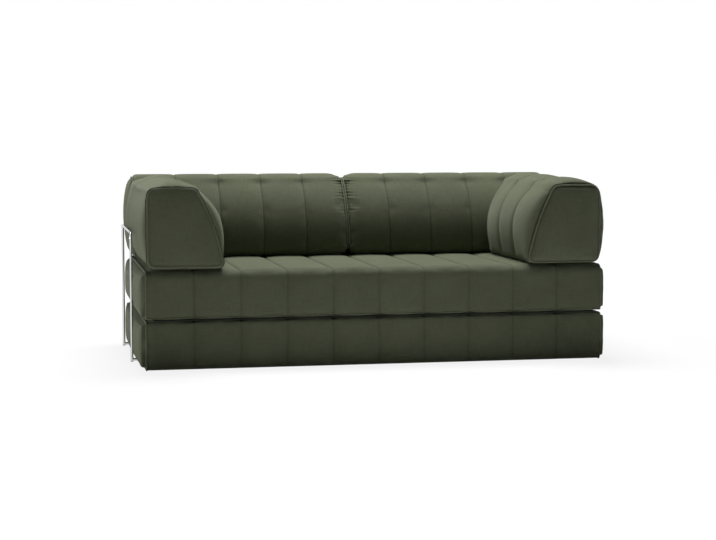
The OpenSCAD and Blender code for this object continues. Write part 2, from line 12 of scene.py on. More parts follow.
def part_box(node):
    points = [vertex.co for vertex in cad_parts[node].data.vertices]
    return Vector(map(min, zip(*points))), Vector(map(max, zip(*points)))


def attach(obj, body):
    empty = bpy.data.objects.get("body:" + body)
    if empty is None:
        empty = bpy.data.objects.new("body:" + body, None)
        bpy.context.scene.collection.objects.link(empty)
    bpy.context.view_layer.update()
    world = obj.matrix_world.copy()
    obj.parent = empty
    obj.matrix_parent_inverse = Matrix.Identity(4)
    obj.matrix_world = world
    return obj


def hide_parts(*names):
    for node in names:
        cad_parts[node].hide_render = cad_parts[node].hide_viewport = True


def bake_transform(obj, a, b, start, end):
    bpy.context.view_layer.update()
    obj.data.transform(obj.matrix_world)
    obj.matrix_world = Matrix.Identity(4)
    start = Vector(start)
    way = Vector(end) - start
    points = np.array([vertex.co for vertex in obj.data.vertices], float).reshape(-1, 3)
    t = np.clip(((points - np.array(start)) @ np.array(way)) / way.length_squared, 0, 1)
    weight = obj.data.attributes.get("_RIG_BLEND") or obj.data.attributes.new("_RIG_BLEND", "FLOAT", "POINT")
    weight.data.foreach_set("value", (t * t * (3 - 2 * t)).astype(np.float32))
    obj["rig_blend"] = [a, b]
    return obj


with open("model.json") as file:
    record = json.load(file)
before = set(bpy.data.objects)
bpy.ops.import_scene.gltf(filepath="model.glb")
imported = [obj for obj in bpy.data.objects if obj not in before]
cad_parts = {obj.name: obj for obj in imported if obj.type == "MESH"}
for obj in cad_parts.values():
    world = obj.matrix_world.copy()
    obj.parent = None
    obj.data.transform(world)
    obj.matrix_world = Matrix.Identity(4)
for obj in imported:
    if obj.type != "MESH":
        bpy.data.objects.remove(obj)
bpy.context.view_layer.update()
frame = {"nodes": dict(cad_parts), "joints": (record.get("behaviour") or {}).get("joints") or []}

# Places taken from the frame
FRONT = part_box("arm_left_piping")[1].y
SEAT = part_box("arm_left_cover")[0].z
LEAF_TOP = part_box("lower_cover")[1].z
LEAF_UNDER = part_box("upper_cover")[0].z
SEAT_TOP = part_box("upper_cover")[1].z
BASE_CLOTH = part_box("base_cloth")[1].z
FOLD = Vector(next(j["pos_m"] for j in frame["joints"] if j["name"] == "leaf_fold"))
TUBE_R = 0.006
RAIL_X, RAIL_Y, RAIL_Z = (c - TUBE_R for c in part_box("rail_right")[1])
REAR_LEG_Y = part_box("rear_stretcher")[0].y + TUBE_R
FRONT_LEG_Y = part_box("front_stretcher")[0].y + TUBE_R
STRETCHER_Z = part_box("rear_stretcher")[0].z + TUBE_R
POST_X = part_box("rear_post_right")[0].x + TUBE_R
BEND_R = RAIL_Y - REAR_LEG_Y

# Sizes of the upholstery
CHANNEL = 0.2
CHANNELS = 10
SEAM_X = CHANNEL * CHANNELS / 2
CROWN = 0.009
CROWN_RISE = 0.012
LEAF_DEPTH = 0.97
LEAF_RIM = 0.01
LEAF_DOME = 0.0235
WELT_R = 0.0036
LEAF_WELT_R = 0.0033

ARM_OUTER = 0.993
ARM_BASE_W = 0.328
ARM_TOP_W = 0.208
ARM_H = 0.342
ARM_CHANNELS = 3
ARM_REAR_PUFF = 0.0125
ARM_FOOT_RISE = 0.008
ARM_FOOT_RUN = 0.03
ARM_WRAP = 0.024
ARM_SWELL = 0.018
ARM_REAR_OUT = 0.015
ARM_REAR_RISE = 0.011

SEAT_DEPTH = 0.652
BACK_REAR = 0.96
BACK_TOP_T = 0.13
BACK_H = 0.369
BACK_INNER_SEAM = 0.004
BACK_OUTER_SEAM = 0.999
BACK_OUTER_PUFF = 0.042
BACK_TOP_Y = BACK_REAR - BACK_TOP_T
BACK_FACE_BOW = 0.035
BACK_TOP_R = 0.07

# The photograph's camera
CAMERA_PLACE = (-1.5185, FRONT - 7.0454, 1.0275)
CAMERA_YAW = 0.1996
CAMERA_PITCH = 0.0851
CAMERA_LENS = 84.32
SENSOR = 36.0


def smooth_step(low, high, value):
    """0 at low, 1 at high, which may be the smaller of the two"""
    t = min(1.0, max(0.0, (value - low) / (high - low)))
    return t * t * (3 - 2 * t)


# Outlines

Point = namedtuple("Point", "place normal bow late relief draw")


def everywhere(place, normal):
    """Channels that show in full all round"""
    return 1.0


def drawn_alike(place, normal):
    """Both ends pull every point in alike"""
    return 1.0, 1.0


class Outline:
    """A closed pattern with rounded corners and bowed sides, cut into points for a box's four walls.
    lates say how late along the cushion each side's bow sets in, relief how much of the channels shows at a
    point, and draw how much each of its two ends pulls it in"""

    def __init__(
            self, corners, radii, bows, counts, arc_steps, lates=(1, 1, 1, 1), relief=everywhere,
            draw=drawn_alike):
        points = [Vector(c) for c in corners]
        ways = [(points[(i + 1) % 4] - p).normalized() for i, p in enumerate(points)]
        turns = [math.acos(max(-1.0, min(1.0, ways[i - 1].dot(ways[i])))) for i in range(4)]
        starts = [math.atan2(-ways[i - 1].x, ways[i - 1].y) for i in range(4)]
        cuts = [radii[i] * math.tan(turns[i] / 2) for i in range(4)]
        centres = [points[i] - ways[i - 1] * cuts[i] + Vector((-ways[i - 1].y, ways[i - 1].x)) * radii[i]
                   for i in range(4)]

        normals = [Vector((way.y, -way.x)) for way in ways]
        spans = [(points[(i + 1) % 4] - points[i]).length - cuts[i] - cuts[(i + 1) % 4] for i in range(4)]

        def run_out(i, share, side):
            """A side's bow runs out over the nearer half of a corner, so that the wall has no kink there"""
            past = 2 * min(share, 1 - share)
            slope = 4 * bows[side] / spans[side]
            return normals[side] * (-slope * radii[i] * turns[i] / 2 * past * (1 - past) ** 2)

        def made(place, normal, bow, side):
            return Point(place, normal, bow, lates[side], relief(place, normal), draw(place, normal))

        def on_arc(i, share):
            """A point on a corner's arc, which belongs to the side it is nearer to"""
            angle = starts[i] + turns[i] * share
            normal = Vector((math.cos(angle), math.sin(angle)))
            place = centres[i] + normal * radii[i]
            side = i if share > 0.5 else (i + 3) % 4
            return made(place, normal, run_out(i, share, side), side)

        self.sides = []
        for i in range(4):
            j = (i + 1) % 4
            first = points[i] + ways[i] * cuts[i]
            last = points[j] - ways[i] * cuts[j]
            normal = normals[i]
            side = []
            for k in range(counts[i] + 1):
                if k <= arc_steps:
                    side.append(on_arc(i, 0.5 + 0.5 * k / arc_steps))
                elif k >= counts[i] - arc_steps:
                    side.append(on_arc(j, 0.5 * (k - counts[i] + arc_steps) / arc_steps))
                else:
                    t = (k - arc_steps) / (counts[i] - 2 * arc_steps)
                    place = first.lerp(last, t)
                    side.append(made(place, normal, normal * (4 * t * (1 - t) * bows[i]), i))
            self.sides.append(side)
        self.counts = counts
        self.lengths = self.measure()

    def measure(self):
        """How far round the outline each side's points lie"""
        run, lengths = 0.0, []
        for side in self.sides:
            row = [run]
            for a, b in zip(side, side[1:]):
                run += (b.place - a.place).length
                row.append(run)
            lengths.append(row)
        return lengths

    def ring(self, station, flat):
        """The four sides' points at one station along the cushion"""
        sides = []
        for side in self.sides:
            row = []
            for p in side:
                inset = p.draw[station.end] * station.inset
                out = p.relief * station.channel + (1 - p.relief) * station.plain - inset
                if flat and p.normal.y < 0 < out:
                    out *= 1 + p.normal.y
                row.append(p.place + p.normal * out + p.bow * station.bow ** p.late)
            sides.append(row)
        return sides

    def side_of(self, cells):
        """The wall that a face's cells lie in, and each cell's number along it"""
        across, up = self.counts[0], self.counts[1]
        if all(k == 0 for j, k in cells):
            return 0, [j for j, k in cells]
        if all(j == across for j, k in cells):
            return 1, [k for j, k in cells]
        if all(k == up for j, k in cells):
            return 2, [across - j for j, k in cells]
        return 3, [up - k for j, k in cells]

    def relief_at(self, j, k):
        """How much of the channels shows at a cell of the box's walls"""
        side, (number,) = self.side_of([(j, k)])
        return self.sides[side][number].relief

    def point(self, ring, j, k):
        """The ring's point at a cell of the box's cross section, inside it too"""
        across, up = self.counts[0], self.counts[1]
        if k == 0:
            return ring[0][j]
        if j == across:
            return ring[1][k]
        if k == up:
            return ring[2][across - j]
        if j == 0:
            return ring[3][up - k]
        s, t = j / across, k / up
        low, high = ring[0][j], ring[2][across - j]
        left, right = ring[3][up - k], ring[1][k]
        corners = (
            ring[0][0] * ((1 - s) * (1 - t)) + ring[0][across] * (s * (1 - t))
            + ring[2][0] * (s * t) + ring[2][across] * ((1 - s) * t)
        )
        return low * (1 - t) + high * t + left * (1 - s) + right * s - corners


# Stations along a cushion: at is a place or a share, extra is added to it, end is the nearer end

Station = namedtuple("Station", "at extra channel plain inset bow seam end")

CHANNEL_SHARES = (0.0, 0.06, 0.14, 0.26, 0.42, 0.58, 0.74, 0.86, 0.94)


def crown_at(share, arched):
    """How high a channel stands over its seams at a share of its width; arched is its share of one arch"""
    near = min(share, 1 - share) * CHANNEL
    return CROWN * (arched * 4 * share * (1 - share) + (1 - arched) * (1 - math.exp(-near / CROWN_RISE)))


def channel_rows(first, last, unit, arched):
    """Stations over whole channels"""
    rows = []
    for c in range(first, last):
        for share in CHANNEL_SHARES:
            crown = crown_at(share, arched)
            rows.append(Station(unit * (c + share), 0.0, crown, CROWN, 0.0, 1.0, share == 0, 0))
    return rows


LEAF_END_R = 0.012
LEAF_ROLL_DEGREES = (90, 62, 40, 18)
LEAF_ROLL_BOW_SHARE = 0.6
LEAF_ARCH_SHARE = 0.7


def leaf_stations():
    """A leaf's channels, and at each end the narrow roll between the last seam and the domed end panel"""
    half = CHANNELS // 2
    start, end = [], []
    for degrees in LEAF_ROLL_DEGREES:
        a = math.radians(degrees)
        out = SEAM_X + LEAF_RIM * math.sin(a)
        inset = LEAF_END_R * (1 - math.cos(a))
        start.append(Station(-out, 0.0, 0.0, 0.0, inset, LEAF_ROLL_BOW_SHARE, False, 0))
        end.insert(0, Station(out, 0.0, 0.0, 0.0, inset, LEAF_ROLL_BOW_SHARE, False, 1))
    last_seam = Station(SEAM_X, 0, 0, 0, 0, 1, True, 1)
    return start + channel_rows(-half, half, CHANNEL, LEAF_ARCH_SHARE) + [last_seam] + end


def shoulder(at, side, width, drop, end):
    """Stations of a back cushion's rounded end, from its end seam inwards"""
    rows = []
    for share in (0.0, 0.05, 0.13, 0.25, 0.42, 0.62, 0.82):
        fade = (1 - share) ** 2.4
        crown = CROWN * (1 - fade)
        bow = 1 - 0.3 * fade
        rows.append(Station(at + side * width * share, 0.0, crown, crown, drop * fade, bow, share == 0, end))
    return rows


# How wide a back cushion's shoulders are and how far they drop
INNER_SHOULDER = (0.075, 0.015)
OUTER_SHOULDER = (0.03, 0.004)
BACK_ARCH_SHARE = 0.15


def back_stations():
    """A back cushion's stations, from its middle end to its outer one"""
    low, high = BACK_INNER_SEAM, BACK_OUTER_SEAM
    middle = [r for r in channel_rows(0, CHANNELS // 2, CHANNEL, BACK_ARCH_SHARE)
              if low + INNER_SHOULDER[0] < r.at < high - OUTER_SHOULDER[0]]
    return shoulder(low, 1, *INNER_SHOULDER, 0) + middle + shoulder(high, -1, *OUTER_SHOULDER, 1)[::-1]


def back_face(z):
    """The back cushion's sitting side at a height, behind the front seam plane, up to its rounded top"""
    lean = (BACK_TOP_Y - SEAT_DEPTH) / BACK_H
    slant = math.hypot(1, lean)
    middle = SEAT + BACK_H - BACK_TOP_R
    centre = SEAT_DEPTH + lean * (middle - SEAT) + BACK_TOP_R * slant
    above = min(z - middle, 0.97 * BACK_TOP_R)
    if above > BACK_TOP_R * lean / slant:
        return centre - math.sqrt(BACK_TOP_R ** 2 - above ** 2)
    t = max(0.0, min(1.0, (z - SEAT) / BACK_H))
    return SEAT_DEPTH + (BACK_TOP_Y - SEAT_DEPTH) * t - 4 * t * (1 - t) * BACK_FACE_BOW


ARM_CLEARANCE = 0.00145


def arm_end(z):
    """The arm's rear end, just clear of the back cushion's crowns"""
    return back_face(z) - CROWN - ARM_CLEARANCE


# Behind an arm's front panel: the share of the first channel, of its crown and of the sides' bows
ARM_FRONT_SHARES = (
    (0.0, 0.0, 0.2), (0.012, 0.3, 0.36), (0.026, 0.66, 0.52), (0.05, 0.86, 0.66), (0.09, 0.96, 0.77),
    (0.16, 1.0, 0.87), (0.3, 1.0, 0.95), (0.5, 1.0, 1.0), (0.7, 0.92, 1.0), (0.86, 0.68, 1.0),
    (0.94, 0.42, 1.0),
)
ARM_ARCH_SHARE = 0.3
ARM_REAR_INSET = 0.004
ARM_REAR_CROWNS = (0.002, 0.004)


def arm_swell(at):
    """How much of its front shoulder's swelling an arm shows at a share of its length"""
    return smooth_step(0.0, 0.12, at) ** 0.5 * smooth_step(1.0, 0.45, at)


def arm_stations():
    """An arm's stations, by share of its length: the roll behind the front panel, channels, rear end"""
    rows = []
    for share, crown, bow in ARM_FRONT_SHARES:
        plain = CROWN * min(1.0, crown if share < 0.4 else 1.0)
        at = share / ARM_CHANNELS
        rows.append(Station(at, 0.0, crown * CROWN, plain, -arm_swell(at), bow, share == 0, 0))
    for row in channel_rows(1, ARM_CHANNELS, 1 / ARM_CHANNELS, ARM_ARCH_SHARE):
        rows.append(row._replace(inset=-arm_swell(row.at)))
    rows.append(Station(1.0, 0.0, *ARM_REAR_CROWNS, 0.0, 1.0, False, 1))
    for degrees in (30, 60, 90):
        a = math.radians(degrees)
        inset = ARM_REAR_INSET * (1 - math.cos(a))
        rows.append(Station(1.0, ARM_REAR_PUFF * math.sin(a), 0.0, 0.0, inset, 1.0, False, 1))
    return rows


# Meshes

def lattice(lengthwise, across, up):
    """A box of quads, and each vertex's place in it as whole numbers"""
    bm = bmesh.new()
    bm.verts.layers.float.new("pin")
    bm.loops.layers.uv.new("weave")
    bmesh.ops.create_cube(bm, size=1.0)
    counts = (lengthwise, across, up)
    for axis, count in enumerate(counts):
        along = []
        for e in bm.edges:
            d = e.verts[1].co - e.verts[0].co
            if abs(d[axis]) > 0.9 * d.length:
                along.append(e)
        bmesh.ops.subdivide_edges(bm, edges=along, cuts=count - 1, use_grid_fill=True)
    places = {v: tuple(round((v.co[a] + 0.5) * counts[a]) for a in range(3)) for v in bm.verts}
    return bm, places


def new_piece(name, bm):
    """A mesh object in the scene, made from bm"""
    mesh = bpy.data.meshes.new(name)
    bm.to_mesh(mesh)
    bm.free()
    piece = bpy.data.objects.new(name, mesh)
    bpy.context.scene.collection.objects.link(piece)
    return piece


def dome(height, power):
    """How far an end panel swells, at shares of its width and height"""
    return lambda s, t: height * (16 * s * (1 - s) * t * (1 - t)) ** power


def cushion(name, outline, stations, place, along, outward, domes, flat):
    """A cushion's cover: its outline carried through the stations, closed by a domed panel at each end.
    place turns a station and an outline point into a point, along gives a station's metres for the weave"""
    bm, places = lattice(len(stations) - 1, outline.counts[0], outline.counts[1])
    pins = bm.verts.layers.float["pin"]
    weave = bm.loops.layers.uv["weave"]
    rings = [outline.ring(station, flat) for station in stations]
    last = len(stations) - 1
    flat_points = {}
    for v, (i, j, k) in places.items():
        q = outline.point(rings[i], j, k)
        flat_points[v] = q
        v.co = place(stations[i], q)
        if i in (0, last):
            s, t = j / outline.counts[0], k / outline.counts[1]
            out = domes[i == last](s, t)
            v.co += outward * (out if i == last else -out)
        wall = j in (0, outline.counts[0]) or k in (0, outline.counts[1])
        sewn = wall and (i in (0, last) or stations[i].seam and outline.relief_at(j, k) > 0.3)
        v[pins] = 1.0 if sewn else 0.0
    for face in bm.faces:
        cells = [places[v] for v in face.verts]
        if len({i for i, j, k in cells}) == 1:
            for loop in face.loops:
                loop[weave].uv = flat_points[loop.vert]
            continue
        side, numbers = outline.side_of([(j, k) for i, j, k in cells])
        for loop, (i, j, k), number in zip(face.loops, cells, numbers):
            loop[weave].uv = (along(stations[i]), outline.lengths[side][number])
    sharpen_ends(bm, places, last, stations)
    bmesh.ops.recalc_face_normals(bm, faces=bm.faces)
    return new_piece(name, bm)


def sharpen_ends(bm, places, last, stations):
    """Keeps a sewn end's rim crisp when the mesh is smoothed"""
    crease = bm.edges.layers.float.new("crease_edge")
    ends = [i for i in (0, last) if stations[i].seam]
    for e in bm.edges:
        a, b = (places[v] for v in e.verts)
        if a[0] == b[0] and a[0] in ends:
            on_rim = all(v[bm.verts.layers.float["pin"]] for v in e.verts)
            e[crease] = 0.9 if on_rim else 0.0


def smooth_shaded(mesh):
    mesh.polygons.foreach_set("use_smooth", [True] * len(mesh.polygons))


def coordinates(mesh):
    """The mesh's points as an array"""
    co = np.zeros(len(mesh.vertices) * 3, np.float32)
    mesh.vertices.foreach_get("co", co)
    return co.reshape(-1, 3).astype(float)


def set_coordinates(mesh, co):
    mesh.vertices.foreach_set("co", np.asarray(co, np.float32).ravel())
    mesh.update()


def vertex_normals(mesh):
    """The mesh's normals at its points, as an array"""
    n = np.zeros(len(mesh.vertices) * 3, np.float32)
    mesh.vertices.foreach_get("normal", n)
    return n.reshape(-1, 3).astype(float)


def apply_modifiers(piece):
    """The piece's mesh as its modifiers show it, with no modifier left"""
    graph = bpy.context.evaluated_depsgraph_get()
    mesh = bpy.data.meshes.new_from_object(
        piece.evaluated_get(graph), preserve_all_data_layers=True, depsgraph=graph)
    piece.modifiers.clear()
    old = piece.data
    piece.data = mesh
    bpy.data.meshes.remove(old)
    mesh.name = piece.name


SWELL_FRAMES = 20
SWELL_CAP = 0.006


def swell(piece, pressure, shrink, hold):
    """Lets the cover swell as cloth between its pinned seams; hold says which points stay where they are"""
    before = coordinates(piece.data)
    pins = np.zeros(len(before), np.float32)
    piece.data.attributes["pin"].data.foreach_get("value", pins)
    group = piece.vertex_groups.new(name="pins")
    fixed = [int(i) for i in np.nonzero((pins > 0.5) | hold(before))[0]]
    group.add(fixed, 1.0, "REPLACE")
    cloth = piece.modifiers.new("Cloth", "CLOTH")
    settings = cloth.settings
    settings.quality = 4
    settings.mass = 0.25
    settings.tension_stiffness = 12
    settings.compression_stiffness = 4
    settings.shear_stiffness = 3
    settings.bending_stiffness = 0.15
    settings.use_pressure = True
    settings.uniform_pressure_force = pressure
    settings.shrink_min = shrink
    settings.vertex_group_mass = "pins"
    settings.effector_weights.gravity = 0
    cloth.collision_settings.use_collision = False
    cloth.point_cache.frame_start = 1
    cloth.point_cache.frame_end = SWELL_FRAMES
    scene = bpy.context.scene
    for f in range(1, SWELL_FRAMES + 1):
        scene.frame_set(f)
    apply_modifiers(piece)
    scene.frame_set(1)
    move = coordinates(piece.data) - before
    length = np.linalg.norm(move, axis=1)
    kept = SWELL_CAP * np.tanh(length / SWELL_CAP) / np.maximum(length, 1e-9)
    set_coordinates(piece.data, before + move * kept[:, None])
    piece.vertex_groups.clear()


def refine(piece, levels):
    """Rounds the cage into a smooth cover"""
    smooth = piece.modifiers.new("Smooth", "SUBSURF")
    smooth.levels = levels
    smooth.render_levels = levels
    apply_modifiers(piece)


# Groove depth at which the painted seam shade is full
GROOVE_SHADE = 0.004
ON_SEAM = 0.0012


def tighten(piece, seams):
    """Cuts two rows of points beside each sewn seam, then draws the seam in as a narrow groove.
    Each seam is how to measure a point's distance to it, the groove's depth at a point, and its width"""
    bm = bmesh.new()
    bm.from_mesh(piece.data)
    for _ in range(2):
        co = np.array([v.co for v in bm.verts])
        on_seam = np.zeros(len(co), bool)
        for distance, depth, width in seams:
            on_seam |= distance(co) < ON_SEAM
        bm.verts.ensure_lookup_table()
        bm.verts.index_update()
        beside = [e for e in bm.edges if on_seam[e.verts[0].index] != on_seam[e.verts[1].index]]
        bmesh.ops.subdivide_edges(bm, edges=beside, cuts=1, use_grid_fill=True)
    bm.to_mesh(piece.data)
    bm.free()
    co = coordinates(piece.data)
    deep = np.zeros(len(co))
    for distance, depth, width in seams:
        deep = np.maximum(deep, depth(co) * np.exp(-(distance(co) / width) ** 2))
    set_coordinates(piece.data, co - vertex_normals(piece.data) * deep[:, None])
    # The groove's depth is also stored as painted shade, which darkens the cloth in the seams
    shade = piece.data.attributes.new("seam", "FLOAT", "POINT")
    shade.data.foreach_set("value", np.clip(deep / GROOVE_SHADE, 0, 1).astype(np.float32))


def distance_to(path):
    """Measures points' distance to a closed path"""
    tree = kdtree.KDTree(len(path))
    for i, p in enumerate(path):
        tree.insert(p, i)
    tree.balance()
    return lambda co: np.array([tree.find(p)[2] for p in co])


def evenly(depth):
    """The same groove depth at every point"""
    return lambda co: np.full(len(co), depth)


def beside(distance, away):
    """Measures points' distance to a line that runs beside a seam"""
    return lambda co: np.abs(distance(co) - away)


def crumple(piece, amount):
    """Moves each point along its normal; amount takes the points and gives metres"""
    co = coordinates(piece.data)
    out = amount(co)
    set_coordinates(piece.data, co + vertex_normals(piece.data) * out[:, None])


def noise_of(points, scale, offset=0.0):
    """Smooth noise between -1 and 1 at each point; scale is per metre on each axis"""
    stretched = points * np.asarray(scale) + offset
    return np.array([noise.noise(Vector(p)) for p in stretched])


def finish_cushion(piece, body, fill, *nodes):
    """The cushion's cloth, its body, and the solids that it stands for"""
    mesh = piece.data
    smooth_shaded(mesh)
    mesh.materials.clear()
    mesh.materials.append(CLOTH)
    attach(piece, body)
    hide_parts(*nodes)
    return piece


# Welts: a thin sewn cord that follows a cut through a finished cushion

def cut_path(piece, point, normal):
    """The closed line in which a plane cuts the piece, and the surface normal along it"""
    bm = bmesh.new()
    bm.from_mesh(piece.data)
    bm.normal_update()
    cut = bmesh.ops.bisect_plane(
        bm, geom=bm.verts[:] + bm.edges[:] + bm.faces[:], plane_co=point, plane_no=normal, dist=1e-6)
    # A dict keeps the edges' order, so a path starts at the same edge in each run
    lines = dict.fromkeys(g for g in cut["geom_cut"] if isinstance(g, bmesh.types.BMEdge))
    paths = []
    while lines:
        edge = next(iter(lines))
        del lines[edge]
        start, vert = edge.verts
        path = [start, vert]
        while vert is not start:
            ahead = next((e for e in vert.link_edges if e in lines), None)
            if ahead is None:
                break
            del lines[ahead]
            vert = ahead.other_vert(vert)
            path.append(vert)
        paths.append([(v.co.copy(), v.normal.copy()) for v in path])
    bm.free()
    return max(paths, key=lambda p: sum((b[0] - a[0]).length for a, b in zip(p, p[1:])))


WELT_STEP = 0.006


def welt_path(piece, point, normal, lift):
    """Where a plane cuts the piece, moved out along its normals, as evenly spaced points"""
    path = cut_path(piece, Vector(point), Vector(normal))
    places = np.array([co + n * lift for co, n in path])
    steps = np.linalg.norm(np.diff(places, axis=0), axis=1)
    run = np.concatenate([[0], np.cumsum(steps)])
    count = max(8, round(run[-1] / WELT_STEP))
    at = np.linspace(0, run[-1], count, endpoint=False)
    return [Vector([np.interp(a, run, places[:, axis]) for axis in range(3)]) for a in at]


def ring_cords(name, body, paths, radius, material):
    """One piece of closed cords, one along each path"""
    curve = bpy.data.curves.new(name, "CURVE")
    curve.dimensions = "3D"
    curve.bevel_depth = radius
    curve.bevel_resolution = 2
    for points in paths:
        spline = curve.splines.new("POLY")
        spline.points.add(len(points) - 1)
        for knot, co in zip(spline.points, points):
            knot.co = (*co, 1)
        spline.use_cyclic_u = True
    shape = bpy.data.objects.new(name + "_path", curve)
    bpy.context.scene.collection.objects.link(shape)
    graph = bpy.context.evaluated_depsgraph_get()
    mesh = bpy.data.meshes.new_from_object(shape.evaluated_get(graph), depsgraph=graph)
    bpy.data.objects.remove(shape)
    cord = bpy.data.objects.new(name, mesh)
    bpy.context.scene.collection.objects.link(cord)
    smooth_shaded(mesh)
    mesh.materials.clear()
    mesh.materials.append(material)
    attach(cord, body)
    return cord


def welts(name, body, paths, radius, nodes=()):
    """The welts sewn into a cushion's seams"""
    welt = ring_cords(name, body, paths, radius, WELT_CLOTH_PAINTED_LIT)
    if nodes:
        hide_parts(*nodes)
    return welt


# Materials

def nodes_of(name):
    """A new material, its tree and its shader"""
    material = bpy.data.materials.new(name)
    material.use_nodes = True
    tree = material.node_tree
    return material, tree, tree.nodes["Principled BSDF"]


def add(tree, kind, **values):
    """A node with its inputs or settings given by name"""
    node = tree.nodes.new(kind)
    for key, value in values.items():
        if key in node.inputs:
            node.inputs[key].default_value = value
        else:
            setattr(node, key, value)
    return node


def feed(tree, socket, value):
    """Links a socket to another, or sets it to a number"""
    if hasattr(value, "links"):
        tree.links.new(value, socket)
    else:
        socket.default_value = value


def maths(tree, operation, a, b=0.0):
    node = add(tree, "ShaderNodeMath", operation=operation)
    feed(tree, node.inputs[0], a)
    feed(tree, node.inputs[1], b)
    return node.outputs[0]


def noise_node(tree, source, scale, detail):
    """Noise over the source's coordinates, scaled on each axis"""
    mapping = add(tree, "ShaderNodeMapping")
    mapping.inputs["Scale"].default_value = scale
    tree.links.new(source, mapping.inputs["Vector"])
    cloud = add(tree, "ShaderNodeTexNoise", Scale=1.0, Detail=detail)
    tree.links.new(mapping.outputs[0], cloud.inputs["Vector"])
    return cloud.outputs["Fac"]


def mixed(tree, factor, first, second):
    mix = add(tree, "ShaderNodeMix", data_type="RGBA")
    feed(tree, mix.inputs[0], factor)
    feed(tree, mix.inputs[6], first)
    feed(tree, mix.inputs[7], second)
    return mix.outputs[2]


def ranged(tree, value, from_low, from_high, to_low=0.0, to_high=1.0):
    """Maps a value from one range to another"""
    ends = {"From Min": from_low, "From Max": from_high, "To Min": to_low, "To Max": to_high}
    node = add(tree, "ShaderNodeMapRange", **ends)
    tree.links.new(value, node.inputs["Value"])
    return node.outputs[0]


THREAD = 0.0016
OLIVE_DARK = (0.094, 0.105, 0.063, 1.0)
OLIVE_LIGHT = (0.144, 0.158, 0.098, 1.0)
# Painted shade: the dark olive that the cloth is tinted towards in its seam grooves
OLIVE_PAINTED_SEAM_SHADE = (0.03, 0.033, 0.021, 1.0)
# Painted highlight: the welts are the cover's own cloth, tinted lighter to stand in for the light their
# ridges catch
WELT_PAINTED_LIT_DARK = (0.12, 0.133, 0.082, 1.0)
WELT_PAINTED_LIT_LIGHT = (0.18, 0.196, 0.125, 1.0)


def cloth_material(name, dark, light, follows_weave):
    """Upholstery cloth: slubby woven threads, a soft mottle, painted shade in its seams and a light nap"""
    material, tree, shader = nodes_of(name)
    place = add(tree, "ShaderNodeTexCoord").outputs["Object"]
    weave = add(tree, "ShaderNodeUVMap", uv_map="weave").outputs[0] if follows_weave else place
    warp = noise_node(tree, weave, (420, 22, 22), 2)
    weft = noise_node(tree, weave, (22, 420, 420), 2)
    slub_warp = noise_node(tree, weave, (150, 14, 14), 1)
    slub_weft = noise_node(tree, weave, (14, 150, 150), 1)
    mottle = noise_node(tree, place, (5, 5, 5), 3)
    threads = maths(tree, "ADD", warp, weft)
    slubs = maths(tree, "ADD", slub_warp, slub_weft)
    fine = maths(tree, "ADD", maths(tree, "MULTIPLY", threads, 0.5), maths(tree, "MULTIPLY", slubs, 0.2))
    amount = maths(tree, "ADD", fine, maths(tree, "MULTIPLY", mottle, 0.45))
    colour = mixed(tree, ranged(tree, amount, 0.65, 1.2), dark, light)
    if follows_weave:
        # Painted shade: the cloth darkens in the seam grooves, by their depth
        seam = add(tree, "ShaderNodeAttribute", attribute_name="seam").outputs["Fac"]
        colour = mixed(tree, maths(tree, "MULTIPLY", seam, 0.62), colour, OLIVE_PAINTED_SEAM_SHADE)
    tree.links.new(colour, shader.inputs["Base Color"])
    shader.inputs["Roughness"].default_value = 0.92
    shader.inputs["Specular IOR Level"].default_value = 0.2
    shader.inputs["Sheen Weight"].default_value = 0.2
    shader.inputs["Sheen Roughness"].default_value = 0.55
    shader.inputs["Sheen Tint"].default_value = (0.85, 0.9, 0.75, 1.0)
    split = add(tree, "ShaderNodeSeparateXYZ")
    tree.links.new(weave, split.inputs[0])
    turn = math.pi / THREAD
    over = maths(tree, "SINE", maths(tree, "MULTIPLY", split.outputs["X"], turn))
    under = maths(tree, "SINE", maths(tree, "MULTIPLY", split.outputs["Y"], turn))
    height = maths(tree, "ADD", maths(tree, "MULTIPLY", over, under), maths(tree, "MULTIPLY", threads, 1.2))
    bump = add(tree, "ShaderNodeBump", Strength=0.5, Distance=0.0004)
    tree.links.new(height, bump.inputs["Height"])
    tree.links.new(bump.outputs[0], shader.inputs["Normal"])
    return material


def chrome_material():
    """Polished chrome with faint smudges, and a painted dark reflection where it turns away"""
    material, tree, shader = nodes_of("polished_chrome")
    place = add(tree, "ShaderNodeTexCoord").outputs["Object"]
    smudge = noise_node(tree, place, (14, 14, 14), 3)
    tree.links.new(ranged(tree, smudge, 0.0, 1.0, 0.05, 0.14), shader.inputs["Roughness"])
    colour = mixed(tree, smudge, (0.56, 0.57, 0.58, 1.0), (0.7, 0.7, 0.7, 1.0))
    # Painted reflection: the base colour darkens towards the tube's edges as they turn away from the view
    edge = add(tree, "ShaderNodeLayerWeight", Blend=0.5).outputs["Facing"]
    painted_edge_reflection = mixed(tree, ranged(tree, edge, 0.3, 0.7), colour, (0.13, 0.13, 0.14, 1.0))
    tree.links.new(painted_edge_reflection, shader.inputs["Base Color"])
    shader.inputs["Metallic"].default_value = 1.0
    return material


def plain_material(name, dark, light, roughness, scale, metallic=0.0, depth=0.0002):
    """A moulded, sawn or woven finish that changes a little over its surface"""
    material, tree, shader = nodes_of(name)
    place = add(tree, "ShaderNodeTexCoord").outputs["Object"]
    grain = noise_node(tree, place, scale, 4)
    tree.links.new(mixed(tree, grain, dark, light), shader.inputs["Base Color"])
    shader.inputs["Roughness"].default_value = roughness
    shader.inputs["Metallic"].default_value = metallic
    bump = add(tree, "ShaderNodeBump", Strength=0.4, Distance=depth)
    tree.links.new(grain, bump.inputs["Height"])
    tree.links.new(bump.outputs[0], shader.inputs["Normal"])
    return material


